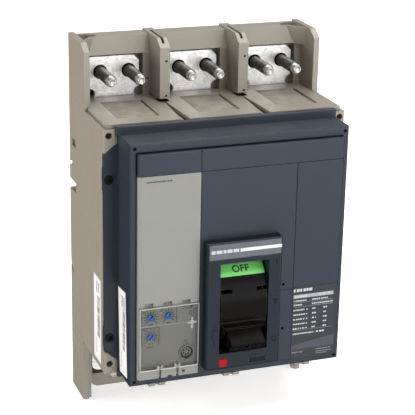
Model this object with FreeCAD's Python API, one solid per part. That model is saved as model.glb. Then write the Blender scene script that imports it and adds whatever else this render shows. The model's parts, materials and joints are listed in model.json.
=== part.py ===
import FreeCAD, Part
import math
import os

from FreeCAD import Vector

os.makedirs("parts", exist_ok=True)

# Three-pole circuit breaker for front connection, in millimetres.
# X runs to the right, Z upwards, and the front faces -Y.  The origin is the centre of the
# flat back face at mid height, and "depth" means the distance forward of the back face.

# ---- driving dimensions ----
HALF_W = 105.0            # half the case width
PITCH = 70.0              # pole pitch
POLES = (-PITCH, 0.0, PITCH)
CASE_TOP = 107.5
CASE_BOTTOM = -106.0
SHROUD_TOP = 163.5
FOOT_BOTTOM = -163.5
COVER_PLATE = 8.0         # thickness of the two rear covers
BASE_FRONT = 49.0         # joint between the rear case and the front case
CASE_FRONT = 107.0
SHROUD_DEPTH = 50.0
FOOT_DEPTH = 38.0
WALL = 4.0
CELL_HALF = 33.0          # half the width of one pole's cell
CHUTE_HALF = 26.0         # half the width of an arc chute's body
CORNER_COLUMN = 8.7       # solid corner round each mounting hole

COVER_HALF = 93.5         # front cover box
COVER_TOP = 105.0
COVER_BOTTOM = -103.4
COVER_FRONT = 142.0
PANEL_FRONT = 146.5       # fascia and trip unit face
BEZEL_FRONT = 156.0
FRAME_HALF = 88.6         # opening in the front cover's face
FRAME_TOP = 98.0
FRAME_BOTTOM = -97.3
STRIP_LOW = 79.3          # lower edge of the fascia's top strip
TRIP_RIGHT = -35.7        # right edge of the trip unit
NAMEPLATE_LEFT = 47.0
NAMEPLATE_TOP = -30.3
BEZEL_HALF = 32.5
BEZEL_TOP = 20.5
BEZEL_BOTTOM = -91.5
WINDOW_HALF = 21.3
WINDOW_TOP = 2.0
WINDOW_BOTTOM = -77.5

BOSS_X = 100.5            # through holes for the mounting screws
BOSS_TOP = 102.5
BOSS_BOTTOM = -97.2
MOUNT_HOLE_R = 2.75
FLANGE_SCREW_Z = (65.7, -73.0)
COVER_SCREW_X = 89.7
COVER_SCREW_Z = (101.2, -99.6)

STUD_PITCH = 25.0
STUD_R = 5.0
STUD_CORE_R = 4.6         # part of a stud that is screwed into its plate
STUD_Z = 132.3
STUD_TIP = 57.0
STUD_OFFSETS = (-STUD_PITCH / 2, STUD_PITCH / 2)
PLATE_HALF = 22.0
PLATE_BACK = 11.0
PLATE_FRONT = 19.0
PLATE_TOP = 145.5

TOGGLE_D = 112.7          # toggle hinge, depth and height
TOGGLE_Z = -37.75
TOGGLE_OFF = -30.0        # handle direction from straight forward, degrees
BARREL_R = 43.5
BARREL_WALL = 3.0
BARREL_HALF = 20.3
HANDLE_HALF = 15.3
HANDLE_TIP = 62.1
HANDLE_THICK = 8.8
BARREL_SLOTS = ((-BARREL_HALF - 0.1, -9.7), (11.2, BARREL_HALF + 0.1))
SLOT_ANGLES = (17.0, 21.6)

SHAFT_D = 80.0            # pole shaft
SHAFT_Z = -10.0
SHAFT_R = 9.0
CARRIER_D = 40.0          # contact carrier pivots
CRANK = 20.0              # crank radius, the same at both ends of a connecting rod
OPEN_ANGLE = 30.0         # how far the contact fingers stand open
MID_ANGLE = 15.0          # half the carrier's travel
PIN_R = 3.0
RUNNING = 0.05            # radial clearance of a running fit
FREE_PIN_R = 3.35         # open end of a connecting rod

DRIVE_TOGGLE_CRANK = 12.0
DRIVE_SHAFT_CRANK = 24.0

DIALS = ((-76.3, -42.8), (-60.9, -42.7), (-76.0, -59.8))
DIAL_R = 2.8
UNIT_SCREWS = ((-41.4, -42.7), (-45.5, -68.4))
CONNECTOR_X = -45.1       # round test socket
CONNECTOR_Z = -77.4
TRIP_FLOOR = 143.5        # setting panel under the clear cover
BUTTON_X = -17.3
BUTTON_Z = -85.8
BUTTON_HALF = 3.5
TRIP_BAR_D = 118.0
TRIP_BAR_Z = -97.0


# ---- helpers ----
def block(x0, x1, d0, d1, z0, z1):
    """Box between two widths, two depths and two heights."""
    return Part.makeBox(x1 - x0, d1 - d0, z1 - z0, Vector(x0, -d1, z0))


def along_x(d, z, r, x0, x1):
    return Part.makeCylinder(r, x1 - x0, Vector(x0, -d, z), Vector(1, 0, 0))


def along_d(x, z, r, d0, d1):
    return Part.makeCylinder(r, d1 - d0, Vector(x, -d0, z), Vector(0, -1, 0))


def side_profile(points, x0, x1):
    """Prism along X from (depth, height) points."""
    loop = [Vector(x0, -d, z) for d, z in points]
    return Part.Face(Part.makePolygon(loop + loop[:1])).extrude(Vector(x1 - x0, 0, 0))


def plan_profile(points, z0, z1):
    """Prism along Z from (x, depth) points."""
    loop = [Vector(x, -d, z0) for x, d in points]
    return Part.Face(Part.makePolygon(loop + loop[:1])).extrude(Vector(0, 0, z1 - z0))


def front_profile(points, d0, d1):
    """Prism along the depth from (x, height) points."""
    loop = [Vector(x, -d0, z) for x, z in points]
    return Part.Face(Part.makePolygon(loop + loop[:1])).extrude(Vector(0, d0 - d1, 0))


def sector(r0, r1, a0, a1, x0, x1):
    """Curved shell about the toggle axis between two directions, in degrees from forward."""
    def point(r, a):
        rad = math.radians(a)
        return Vector(x0, -(TOGGLE_D + r * math.cos(rad)), TOGGLE_Z + r * math.sin(rad))
    mid = (a0 + a1) / 2
    edges = [
        Part.Arc(point(r1, a0), point(r1, mid), point(r1, a1)).toShape(),
        Part.LineSegment(point(r1, a1), point(r0, a1)).toShape(),
        Part.Arc(point(r0, a1), point(r0, mid), point(r0, a0)).toShape(),
        Part.LineSegment(point(r0, a0), point(r1, a0)).toShape(),
    ]
    return Part.Face(Part.Wire(edges)).extrude(Vector(x1 - x0, 0, 0))


def fuse(first, *others):
    return first.fuse(list(others)).removeSplitter()


def cut(shape, *tools):
    return shape.cut(list(tools)).removeSplitter()


def turned(shape, degrees, d=TOGGLE_D, z=TOGGLE_Z):
    """Turn a shape about an axis along X so that forward moves upward."""
    copy = shape.copy()
    copy.rotate(Vector(0, -d, z), Vector(-1, 0, 0), degrees)
    return copy


def round_edges(shape, radius, wanted):
    """Fillet the edges for which wanted(edge) is true."""
    chosen = [edge for edge in shape.Edges if wanted(edge)]
    return shape.makeFillet(radius, chosen)


def bevel_edges(shape, size, wanted):
    chosen = [edge for edge in shape.Edges if wanted(edge)]
    return shape.makeChamfer(size, chosen)


def on_front(depth):
    """Straight edges that lie in the plane at this depth."""
    def test(edge):
        box = edge.BoundBox
        return abs(box.YMin + depth) < 1e-4 and abs(box.YMax + depth) < 1e-4
    return test


def runs_along(axis):
    """Straight edges parallel to one axis."""
    def test(edge):
        box = edge.BoundBox
        spans = {"x": box.XLength, "y": box.YLength, "z": box.ZLength}
        own = spans.pop(axis)
        return own > 1e-3 and max(spans.values()) < 1e-4
    return test


def coil(x, d, z, radius, wire, length, turns):
    """Coil spring standing along +Z from a point."""
    helix = Part.makeHelix(length / turns, length, radius)
    start = Vector(radius, 0, 0)
    ring = Part.Wire([Part.makeCircle(wire / 2, start, Vector(0, 1, 0))])
    spring = Part.Wire(helix.Edges).makePipeShell([ring], True, True)
    spring.translate(Vector(x, -d, z))
    return spring


def save(name, *solids):
    shape = solids[0] if len(solids) == 1 else Part.makeCompound(list(solids))
    shape.exportStep("parts/" + name + ".step")


def mount_holes(d0, d1):
    """The four through holes for the mounting screws."""
    holes = []
    for z in (BOSS_TOP, BOSS_BOTTOM):
        for x in (-BOSS_X, BOSS_X):
            holes.append(along_d(x, z, MOUNT_HOLE_R, d0, d1))
    return holes


def direction(angle):
    """Unit step in (depth, height), in degrees from forward."""
    rad = math.radians(angle)
    return math.cos(rad), math.sin(rad)


# ---- casings ----
def rear_case():
    body = block(-HALF_W, HALF_W, COVER_PLATE, BASE_FRONT, CASE_BOTTOM, CASE_TOP)
    band = side_profile([(0, -43), (0, 47), (COVER_PLATE, 50), (COVER_PLATE, -49.5)], -HALF_W, HALF_W)
    body = fuse(body, band)
    skin = 3.5
    cells = []
    for x in POLES:
        left = x - CELL_HALF if x >= 0 else skin - HALF_W
        right = x + CELL_HALF if x <= 0 else HALF_W - skin
        cells.append(block(left, right, PLATE_BACK, BASE_FRONT + 1, CASE_BOTTOM + WALL, CASE_TOP + 1))
        cells.append(block(x - 24, x + 24, PLATE_BACK, BASE_FRONT + 1, CASE_BOTTOM - 1, CASE_BOTTOM + 5))
    body = cut(body, *cells)
    solids = []
    tools = []
    notch_width, notch_depth, backing = 12.0, 20.0, 3.0
    for side in (-1, 1):
        edge = side * HALF_W
        inner = side * (HALF_W - CORNER_COLUMN)
        x0, x1 = sorted((edge, inner))
        solids.append(block(x0, x1, COVER_PLATE, BASE_FRONT, CASE_TOP - 14, CASE_TOP))
        solids.append(block(x0, x1, COVER_PLATE, BASE_FRONT, CASE_BOTTOM, CASE_BOTTOM + 19))
        x0, x1 = sorted((edge, side * (HALF_W - notch_width - backing)))
        solids.append(block(x0, x1, COVER_PLATE, notch_depth + backing, 26.0 - backing, 34.8 + backing))
        x0, x1 = sorted((side * (HALF_W + 1), side * (HALF_W - notch_width)))
        tools.append(block(x0, x1, -1, notch_depth, 26.0, 34.8))
        x0, x1 = sorted((side * (HALF_W + 1), side * (HALF_W - 2.5)))
        tools.append(block(x0, x1, 8.7, 20.2, 66.8, 73.8))
    return cut(fuse(body, *solids), *tools, *mount_holes(-1, BASE_FRONT + 1))


def rear_cover_upper():
    points = [(0, 50), (0, CASE_TOP), (COVER_PLATE, CASE_TOP), (COVER_PLATE, 53.4)]
    plate = side_profile(points, -HALF_W, HALF_W)
    return cut(plate, *mount_holes(-1, COVER_PLATE + 1))


def rear_cover_lower():
    points = [(0, CASE_BOTTOM), (0, -46.5), (COVER_PLATE, -53), (COVER_PLATE, CASE_BOTTOM)]
    plate = side_profile(points, -HALF_W, HALF_W)
    return cut(plate, *mount_holes(-1, COVER_PLATE + 1))


def front_case():
    body = block(-HALF_W, HALF_W, BASE_FRONT, CASE_FRONT, CASE_BOTTOM, CASE_TOP)
    body = round_edges(body, 1.0, lambda e: on_front(CASE_FRONT)(e) and runs_along("z")(e))
    skin = 3.0
    front_wall = CASE_FRONT - 3.0
    tools = [block(-COVER_HALF - 0.2, COVER_HALF + 0.2, front_wall - 1, CASE_FRONT + 1, COVER_BOTTOM - 0.2,
                   COVER_TOP + 0.2)]
    for x in POLES:
        left = x - CELL_HALF if x >= 0 else skin - HALF_W
        right = x + CELL_HALF if x <= 0 else HALF_W - skin
        tools.append(block(left, right, BASE_FRONT - 1, front_wall, CASE_BOTTOM + WALL, CASE_TOP + 1))
    # slots in the partitions for the pole shaft, open to the front for assembly
    slot = SHAFT_R + 1.5
    for x in (-PITCH / 2, PITCH / 2):
        tools.append(block(x - 3, x + 3, SHAFT_D, front_wall + 1, SHAFT_Z - slot, SHAFT_Z + slot))
        tools.append(along_x(SHAFT_D, SHAFT_Z, slot, x - 3, x + 3))
    # recess of the flange strips between the corner bosses
    recess = 3.8
    for side in (-1, 1):
        points = [(92, 97.4), (104.3, 88.2), (HALF_W + 1, 88.2), (HALF_W + 1, -86), (103.2, -86),
                  (92, -95)]
        tools.append(front_profile([(side * x, z) for x, z in points], CASE_FRONT - recess,
                                   CASE_FRONT + 1))
    body = cut(body, *tools)
    columns = []
    for z0, z1 in ((CASE_TOP - 14, CASE_TOP - 1), (CASE_BOTTOM + 1, CASE_BOTTOM + 16)):
        columns.append(block(-HALF_W + 1, -HALF_W + CORNER_COLUMN, BASE_FRONT, CASE_FRONT - 2, z0, z1))
        columns.append(block(HALF_W - CORNER_COLUMN, HALF_W - 1, BASE_FRONT, CASE_FRONT - 2, z0, z1))
    body = fuse(body, *columns)
    # raised lips round the corner bosses
    lips = []
    for side in (-1, 1):
        points = [(95.7, 96.2), (103.6, 88.6), (HALF_W, 88.6), (HALF_W, 90.6), (96.9, 98.4), (96.9, CASE_TOP),
                  (95.7, CASE_TOP)]
        lips.append(front_profile([(side * x, z) for x, z in points], CASE_FRONT - recess, CASE_FRONT + 1.0))
        points = [(HALF_W, -86.4), (103.4, -86.4), (95.7, -92.8), (95.7, -101.0), (98.7, CASE_BOTTOM),
                  (100.4, CASE_BOTTOM), (96.9, -100.6), (96.9, -93.4), (103.9, -87.6), (HALF_W, -87.6)]
        lips.append(front_profile([(side * x, z) for x, z in points], CASE_FRONT - recess, CASE_FRONT + 1.0))
    body = fuse(body, *lips)
    # fixing points of the cover flange
    threads = []
    for x in (-BOSS_X, BOSS_X):
        for z in FLANGE_SCREW_Z:
            threads.append(along_d(x, z, 2.0, CASE_FRONT - 14, CASE_FRONT + 1))
            pad = block(x - 4.4, x + 4.4, CASE_FRONT - 16, CASE_FRONT - recess, z - 5, z + 5)
            body = fuse(body, pad)
    # the side wall is lower beside each flange screw
    for side in (-1, 1):
        x0, x1 = sorted((side * (HALF_W + 1), side * (HALF_W - 2)))
        for z in FLANGE_SCREW_Z:
            scallop = [(CASE_FRONT, z - 14), (CASE_FRONT - 6, z - 9), (CASE_FRONT - 6, z + 9), (CASE_FRONT, z + 14)]
            threads.append(side_profile(scallop, x0, x1))
    return cut(body, *threads, *mount_holes(BASE_FRONT - 1, CASE_FRONT + 2))


def upper_terminal_shroud():
    """Side walls, two slotted partitions and a thick back wall round the upper terminals."""
    wall = 5.0
    side_points = [(0, CASE_TOP), (0, SHROUD_TOP), (40, SHROUD_TOP), (SHROUD_DEPTH, 157),
                   (SHROUD_DEPTH, CASE_TOP)]
    parts = [side_profile(side_points, -HALF_W, wall - HALF_W),
             side_profile(side_points, HALF_W - wall, HALF_W)]
    partition_points = side_points[:-1] + [(SHROUD_DEPTH, 113.5), (PLATE_FRONT, CASE_TOP)]
    for x in (-PITCH / 2, PITCH / 2):
        parts.append(side_profile(partition_points, x - 4.4, x + 4.4))
    parts.append(side_profile([(0, CASE_TOP), (0, SHROUD_TOP - 1.5), (16, SHROUD_TOP - 1.5), (22, 147),
                               (22, CASE_TOP)], wall - HALF_W, HALF_W - wall))
    body = fuse(*parts)
    web = [(-101, 31), (-101, 27.5), (-89.5, 14), (-86, 14)]
    webs = []
    for mirror in (1, -1):
        webs.append(plan_profile([(mirror * x, d) for x, d in web], 147, SHROUD_TOP - 1.5))
    body = fuse(body, *webs)
    tools = []
    for x in POLES:
        window_left, window_right = x - PLATE_HALF - 0.4, x + PLATE_HALF + 2.2
        tools.append(block(window_left, window_right, PLATE_BACK - 0.2, 30, CASE_TOP - 1, 147.2))
        # hollow behind the plate for the incoming screw ends
        tools.append(block(x - 20, x + 20, 5, PLATE_BACK, CASE_TOP - 1, 143))
    slot = 1.1
    for x in (-PITCH / 2, PITCH / 2):
        tools.append(block(x - slot, x + slot, 9, SHROUD_DEPTH - 4.5, CASE_TOP + 12, SHROUD_TOP + 1))
        for z in (145.5, 115.6):
            tools.append(along_d(x + 1.2, z, 1.1, SHROUD_DEPTH - 3.5, SHROUD_DEPTH + 1))
    for x in POLES:
        tools.append(along_d(x + 28.5, 124.5, 1.1, 17, 23))
    # triangular hollows behind the corner webs
    hollow = [(-99.5, 4), (-99.5, 24.5), (-90.5, 14.5), (-84, 14.5), (-84, 9), (-92, 4)]
    for mirror in (1, -1):
        tools.append(plan_profile([(mirror * x, d) for x, d in hollow], 150, SHROUD_TOP + 1))
    return cut(body, *tools)


def lower_terminal_shroud():
    """Side walls that form two feet, partitions and a low back wall."""
    wall = 5.0
    foot = [(0, FOOT_BOTTOM), (0, CASE_BOTTOM), (FOOT_DEPTH, CASE_BOTTOM), (FOOT_DEPTH, FOOT_BOTTOM)]
    parts = [side_profile(foot, -HALF_W, wall - HALF_W), side_profile(foot, HALF_W - wall, HALF_W)]
    rim = 7.5
    for x0, x1 in ((-HALF_W + 1.5, rim - HALF_W), (HALF_W - rim, HALF_W - 1.5)):
        parts.append(block(x0, x1, FOOT_DEPTH - 4, FOOT_DEPTH - 1, FOOT_BOTTOM + 1, CASE_BOTTOM))
    for x in (-PITCH / 2, PITCH / 2):
        parts.append(block(x - 4.4, x + 4.4, 0, FOOT_DEPTH - 2, FOOT_BOTTOM + 3.5, CASE_BOTTOM))
    # the back wall stops short of the feet near its rounded lower corners
    corner, inset = 7.0, 11.0
    back = block(inset - HALF_W, HALF_W - inset, 0, 22, FOOT_BOTTOM + 3.5, CASE_BOTTOM)
    back = round_edges(back, corner, lambda e: runs_along("y")(e) and e.BoundBox.ZMax < FOOT_BOTTOM + 5)
    parts.append(back)
    parts.append(block(wall - HALF_W, HALF_W - wall, 0, 22, FOOT_BOTTOM + 13, CASE_BOTTOM))
    body = fuse(*parts)
    tools = []
    for x in POLES:
        tools.append(block(x - PLATE_HALF - 0.4, x + PLATE_HALF + 0.4, PLATE_BACK - 0.2, 30, -147.2,
                           CASE_BOTTOM + 1))
        tools.append(block(x - 20, x + 20, 5, PLATE_BACK, -143, CASE_BOTTOM + 1))
    slot = 1.1
    for x in (-PITCH / 2, PITCH / 2):
        tools.append(block(x - slot, x + slot, 9, FOOT_DEPTH - 6, FOOT_BOTTOM - 1, CASE_BOTTOM - 12))
    return cut(body, *tools)


def front_cover():
    """Dark moulded box with a flange down each side and a lip along its top."""
    box = block(-COVER_HALF, COVER_HALF, CASE_FRONT - 3.5, COVER_FRONT, COVER_BOTTOM, COVER_TOP)
    box = bevel_edges(box, 1.2, on_front(COVER_FRONT))
    lip = block(-95.4, 95.4, CASE_FRONT + 0.2, 111.5, 103.5, 111.0)
    lip = round_edges(lip, 0.8, on_front(111.5))
    strips = []
    for side in (-1, 1):
        points = [(93, 95.8), (93.6, 95.8), (103.9, 87.6), (HALF_W - 0.3, 87.6), (HALF_W - 0.3, -85.4),
                  (103.0, -85.4), (93.6, -93.2), (93, -93.2)]
        strips.append(front_profile([(side * x, z) for x, z in points], CASE_FRONT - 3.5, CASE_FRONT))
        x0, x1 = sorted((side * (HALF_W - 0.3), side * (HALF_W - 1.8)))
        for z in FLANGE_SCREW_Z:
            strips.append(side_profile([(CASE_FRONT - 1, z - 13), (CASE_FRONT - 5.8, z - 8.7),
                                        (CASE_FRONT - 5.8, z + 8.7), (CASE_FRONT - 1, z + 13)], x0, x1))
    lower_lip = block(-94.6, 94.6, CASE_FRONT + 0.2, 111.5, -108.0, COVER_BOTTOM + 1)
    body = fuse(box, lip, lower_lip, *strips)
    skin = 3.0
    tools = [
        block(skin - COVER_HALF, COVER_HALF - skin, CASE_FRONT - 4, COVER_FRONT - skin, COVER_BOTTOM + skin,
              COVER_TOP - skin),
        block(-FRAME_HALF, FRAME_HALF, CASE_FRONT, COVER_FRONT + 1, FRAME_BOTTOM, FRAME_TOP),
    ]
    for x in (-COVER_SCREW_X, COVER_SCREW_X):
        for z in COVER_SCREW_Z:
            tools.append(along_d(x, z, 1.5, CASE_FRONT, COVER_FRONT + 1))
    for x in (-BOSS_X, BOSS_X):
        for z in FLANGE_SCREW_Z:
            tools.append(along_d(x, z, 2.3, CASE_FRONT - 5, CASE_FRONT + 1))
            tools.append(along_d(x, z, 4.1, CASE_FRONT - 1.6, CASE_FRONT + 1))
    return cut(body, *tools)


def cover_clips():
    """Three clips that hold the cover's lower edge."""
    clips = []
    for x in (-66.0, 0.3, 65.5):
        web = block(x - 7, x + 7, 118, 131, COVER_BOTTOM - 8.5, COVER_BOTTOM - 0.05)
        web = bevel_edges(web, 1.5, lambda e: runs_along("x")(e) and e.BoundBox.ZMax < COVER_BOTTOM - 5)
        gap = block(x - 2.2, x + 1.6, 127.5, 132, COVER_BOTTOM - 9, COVER_BOTTOM - 1.5)
        clips.append(cut(web, gap))
    return clips


# ---- front panel ----
def groove(x0, x1, z0, z1):
    """Shallow joint line in the fascia."""
    return block(x0, x1, PANEL_FRONT - 0.8, PANEL_FRONT + 1, z0, z1)


def front_fascia():
    half = 88.0
    top, bottom = 97.2, -96.5
    back = COVER_FRONT - 3.0
    body = block(-half, half, back, PANEL_FRONT, bottom, top)
    body = bevel_edges(body, 0.8, on_front(PANEL_FRONT))
    line = 0.35
    tools = [
        block(-half - 1, TRIP_RIGHT + 0.4, back - 1, PANEL_FRONT + 1, bottom - 1, STRIP_LOW),
        block(-26, 26, back - 1, PANEL_FRONT + 1, -82, 8),
        along_d(BUTTON_X, BUTTON_Z, 2.1, back - 1, PANEL_FRONT + 1),
        block(NAMEPLATE_LEFT, half + 1, PANEL_FRONT - 0.9, PANEL_FRONT + 1, bottom - 1, NAMEPLATE_TOP),
        groove(TRIP_RIGHT, half + 1, STRIP_LOW - line, STRIP_LOW + line),
        groove(TRIP_RIGHT - line, TRIP_RIGHT + line, STRIP_LOW, top + 1),
        groove(NAMEPLATE_LEFT - line, NAMEPLATE_LEFT + line, NAMEPLATE_TOP, STRIP_LOW),
        groove(36.4, NAMEPLATE_LEFT, -31.1 - line, -31.1 + line),
        along_d(38.4, -26.1, 1.35, back - 1, PANEL_FRONT + 1),
        along_d(38.7, -66.2, 1.35, back - 1, PANEL_FRONT + 1),
    ]
    return cut(body, *tools)


def nameplate():
    face = PANEL_FRONT - 0.1
    plate = block(NAMEPLATE_LEFT + 0.3, 87.6, face - 0.8, face, -96.3, NAMEPLATE_TOP - 0.3)
    return bevel_edges(plate, 0.2, on_front(face))


def handle_bezel():
    outer = block(-BEZEL_HALF, BEZEL_HALF, PANEL_FRONT, BEZEL_FRONT, BEZEL_BOTTOM, BEZEL_TOP)
    outer = bevel_edges(outer, 1.3, on_front(BEZEL_FRONT))
    skin = 2.2
    rim = 1.6
    hollow = block(skin - BEZEL_HALF, BEZEL_HALF - skin, PANEL_FRONT - 1, BEZEL_FRONT - skin,
                   BEZEL_BOTTOM + skin, BEZEL_TOP - skin)
    collar = block(-WINDOW_HALF - rim, WINDOW_HALF + rim, PANEL_FRONT - 4, BEZEL_FRONT - skin,
                   WINDOW_BOTTOM - rim, WINDOW_TOP + rim)
    body = fuse(cut(outer, hollow), collar)
    groove_half = 0.25
    tools = [
        block(-WINDOW_HALF, WINDOW_HALF, PANEL_FRONT - 5, BEZEL_FRONT + 1, WINDOW_BOTTOM, WINDOW_TOP),
        block(BUTTON_X - BUTTON_HALF - 0.3, BUTTON_X + BUTTON_HALF + 0.3, PANEL_FRONT, BEZEL_FRONT + 1,
              BUTTON_Z - BUTTON_HALF - 0.3, BUTTON_Z + BUTTON_HALF + 0.3),
        block(-BEZEL_HALF - 1, BEZEL_HALF + 1, BEZEL_FRONT - 0.5, BEZEL_FRONT + 1, 6.0 - groove_half,
              6.0 + groove_half),
        block(5.8, 21.0, BEZEL_FRONT - 0.6, BEZEL_FRONT + 1, -89.2, -84.4),
    ]
    return cut(body, *tools)


# ---- trip unit ----
def trip_unit_housing():
    left, right = -87.8, TRIP_RIGHT - 0.2
    bottom, top = -96.3, STRIP_LOW - 0.4
    body = block(left, right, 109, PANEL_FRONT, bottom, top)
    body = bevel_edges(body, 1.8, lambda e: on_front(PANEL_FRONT)(e) and runs_along("z")(e)
                       and e.BoundBox.XMax < left + 1)
    skin = 2.5
    tools = [
        block(left + skin, right - skin, 108, TRIP_FLOOR - skin, bottom + skin, top - skin),
        block(-87.1, -36.1, TRIP_FLOOR, PANEL_FRONT + 1, -88.2, -31.8),
    ]
    for x in (-79, -63, -47):
        tools.append(block(x - 3.6, x + 3.6, TRIP_FLOOR + 0.5, PANEL_FRONT + 1, -32.5, -28.9))
    for x in (-68.9, -53.8):
        tools.append(block(x - 1.0, x + 1.0, TRIP_FLOOR, PANEL_FRONT + 1, bottom - 1, -88))
    tools.append(along_d(-60.5, bottom, 2.2, TRIP_FLOOR, PANEL_FRONT + 1))
    for x, z in DIALS:
        tools.append(along_d(x, z, DIAL_R + 0.25, TRIP_FLOOR - skin - 1, TRIP_FLOOR + 1))
    tools.append(along_d(CONNECTOR_X, CONNECTOR_Z, 6.9, TRIP_FLOOR - skin - 1, TRIP_FLOOR + 1))
    for x, z in UNIT_SCREWS:
        tools.append(along_d(x, z, 1.1, TRIP_FLOOR - skin - 1, TRIP_FLOOR + 1))
    return cut(body, *tools)


def trip_unit_cover():
    """Clear lid, hinged along its top edge on three lugs."""
    axis_d, axis_z = PANEL_FRONT + 0.8, -30.9
    plate = block(-86.8, -36.4, PANEL_FRONT - 1.4, PANEL_FRONT, -87.9, -32.1)
    plate = bevel_edges(plate, 0.4, on_front(PANEL_FRONT))
    parts = [plate]
    for x in (-79, -63, -47):
        parts.append(along_x(axis_d, axis_z, 1.2, x - 3.2, x + 3.2))
        parts.append(side_profile([(axis_d - 1.2, axis_z), (axis_d + 1.2, axis_z), (PANEL_FRONT, -33.0),
                                   (PANEL_FRONT - 1.4, -33.0)], x - 3.2, x + 3.2))
    return fuse(*parts)


def setting_dial(x, z):
    knob = along_d(x, z, DIAL_R, TRIP_FLOOR - 4, TRIP_FLOOR + 0.9)
    knob = bevel_edges(knob, 0.3, on_front(TRIP_FLOOR + 0.9))
    slot = block(x - 0.45, x + 0.45, TRIP_FLOOR + 0.1, TRIP_FLOOR + 2, z - 2.3, z + 2.3)
    slot.rotate(Vector(x, 0, z), Vector(0, 1, 0), 45)
    return cut(knob, slot)


def test_connector():
    x, z = CONNECTOR_X, CONNECTOR_Z
    shell = along_d(x, z, 6.6, TRIP_FLOOR - 9, TRIP_FLOOR + 0.8)
    bowl = along_d(x, z, 5.6, TRIP_FLOOR - 5, TRIP_FLOOR + 1)
    core = along_d(x, z, 3.9, TRIP_FLOOR - 6, TRIP_FLOOR - 0.6)
    body = fuse(cut(shell, bowl), core)
    pins = []
    for k in range(6):
        a = math.radians(60 * k + 30)
        pins.append(along_d(x + 2.5 * math.cos(a), z + 2.5 * math.sin(a), 0.55, TRIP_FLOOR - 4, TRIP_FLOOR))
    key = block(x - 1.1, x + 1.1, TRIP_FLOOR - 4, TRIP_FLOOR + 1, z - 6.2, z - 4.5)
    return cut(body, *pins, key)


def cross_screw(x, z, head_r, shank_r, seat_d, length, head):
    """Pan head screw with a cross recess, its head standing forward of seat_d."""
    body = fuse(along_d(x, z, shank_r, seat_d - length, seat_d), along_d(x, z, head_r, seat_d, seat_d + head))
    recess = 0.22 * head_r
    arms = [block(x - recess, x + recess, seat_d + 0.3 * head, seat_d + head + 1, z - 0.6 * head_r,
                  z + 0.6 * head_r),
            block(x - 0.6 * head_r, x + 0.6 * head_r, seat_d + 0.3 * head, seat_d + head + 1, z - recess,
                  z + recess)]
    return cut(body, *arms)


# ---- current path ----
def bolt_stud(x, z):
    """Threaded stud with a turned-down tip and a core that sits in the terminal plate."""
    core = along_d(x, z, STUD_CORE_R, PLATE_BACK, PLATE_FRONT)
    shank = along_d(x, z, STUD_R, PLATE_FRONT, STUD_TIP - 4)
    tip = along_d(x, z, 3.6, STUD_TIP - 4, STUD_TIP)
    tip = bevel_edges(tip, 1.0, on_front(STUD_TIP))
    shank = bevel_edges(shank, 0.9, on_front(STUD_TIP - 4))
    return fuse(core, shank, tip)


def terminal_holes(x, z):
    reach = STUD_PITCH / 2
    return [along_d(x - reach, z, STUD_CORE_R, PLATE_BACK - 1, PLATE_FRONT + 1),
            along_d(x + reach, z, STUD_CORE_R, PLATE_BACK - 1, PLATE_FRONT + 1)]


def upper_terminal(x):
    corner = 5.0
    half, top = PLATE_HALF - 0.2, PLATE_TOP
    plate = front_profile([(x - half, 108.5), (x - half, top - corner * 0.2), (x - half + 1, top),
                           (x + half - corner, top), (x + half, top - corner), (x + half, 108.5)],
                          PLATE_BACK, PLATE_FRONT)
    notches = [along_d(x - half, 113.5, 4.5, PLATE_BACK - 1, PLATE_FRONT + 1),
               along_d(x + half, 113.5, 4.5, PLATE_BACK - 1, PLATE_FRONT + 1)]
    plate = cut(plate, *notches, *terminal_holes(x, STUD_Z))
    bar = block(x - 18, x + 18, PLATE_BACK, PLATE_FRONT, 46, 108.5)
    foot = block(x - 16, x + 16, PLATE_FRONT, 29.5, 46, 62)
    return fuse(plate, bar, foot)


def lower_terminal(x):
    half = PLATE_HALF - 0.2
    plate = block(x - half, x + half, PLATE_BACK, PLATE_FRONT, -PLATE_TOP, -107)
    plate = round_edges(plate, 6.0, lambda e: runs_along("y")(e) and e.BoundBox.ZMax < 1 - PLATE_TOP)
    plate = cut(plate, *terminal_holes(x, -STUD_Z))
    step = block(x - 20, x + 20, PLATE_BACK, 31, -107, -99)
    bar = block(x - 17, x + 17, 23.5, 31, -99, -46)
    return fuse(plate, step, bar)


def fixed_contact(x):
    pad = block(x - 14, x + 14, 29.5, 32.6, 48, 60)
    return bevel_edges(pad, 0.6, on_front(32.6))


def current_transformer(x):
    ring = block(x - 25, x + 25, 13, 44, -92, -62)
    ring = round_edges(ring, 3.0, runs_along("z"))
    return cut(ring, block(x - 18, x + 18, 21, 34, -93, -61))


def contact_fingers(x):
    """Four spring-loaded fingers with silver tips, drawn closed and then turned open."""
    fingers = []
    tail, tip = SHAFT_Z - 14, 60.0
    for offset in (-10.5, -3.5, 3.5, 10.5):
        x0, x1 = x + offset - 2.4, x + offset + 2.4
        bar = block(x0, x1, 36, 44, tail, tip)
        bar = round_edges(bar, 2.0, runs_along("x"))
        nose = block(x0, x1, 33.2, 37, 49, 59)
        hole = along_x(CARRIER_D, SHAFT_Z, 3.0, x0 - 1, x1 + 1)
        fingers.append(turned(cut(fuse(bar, nose), hole), -OPEN_ANGLE, CARRIER_D, SHAFT_Z))
    return fingers


def carrier_pin(angle):
    """Crank pin offset from a shaft, upward at mid travel."""
    step = direction(90 + angle)
    return CRANK * step[0], CRANK * step[1]


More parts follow.
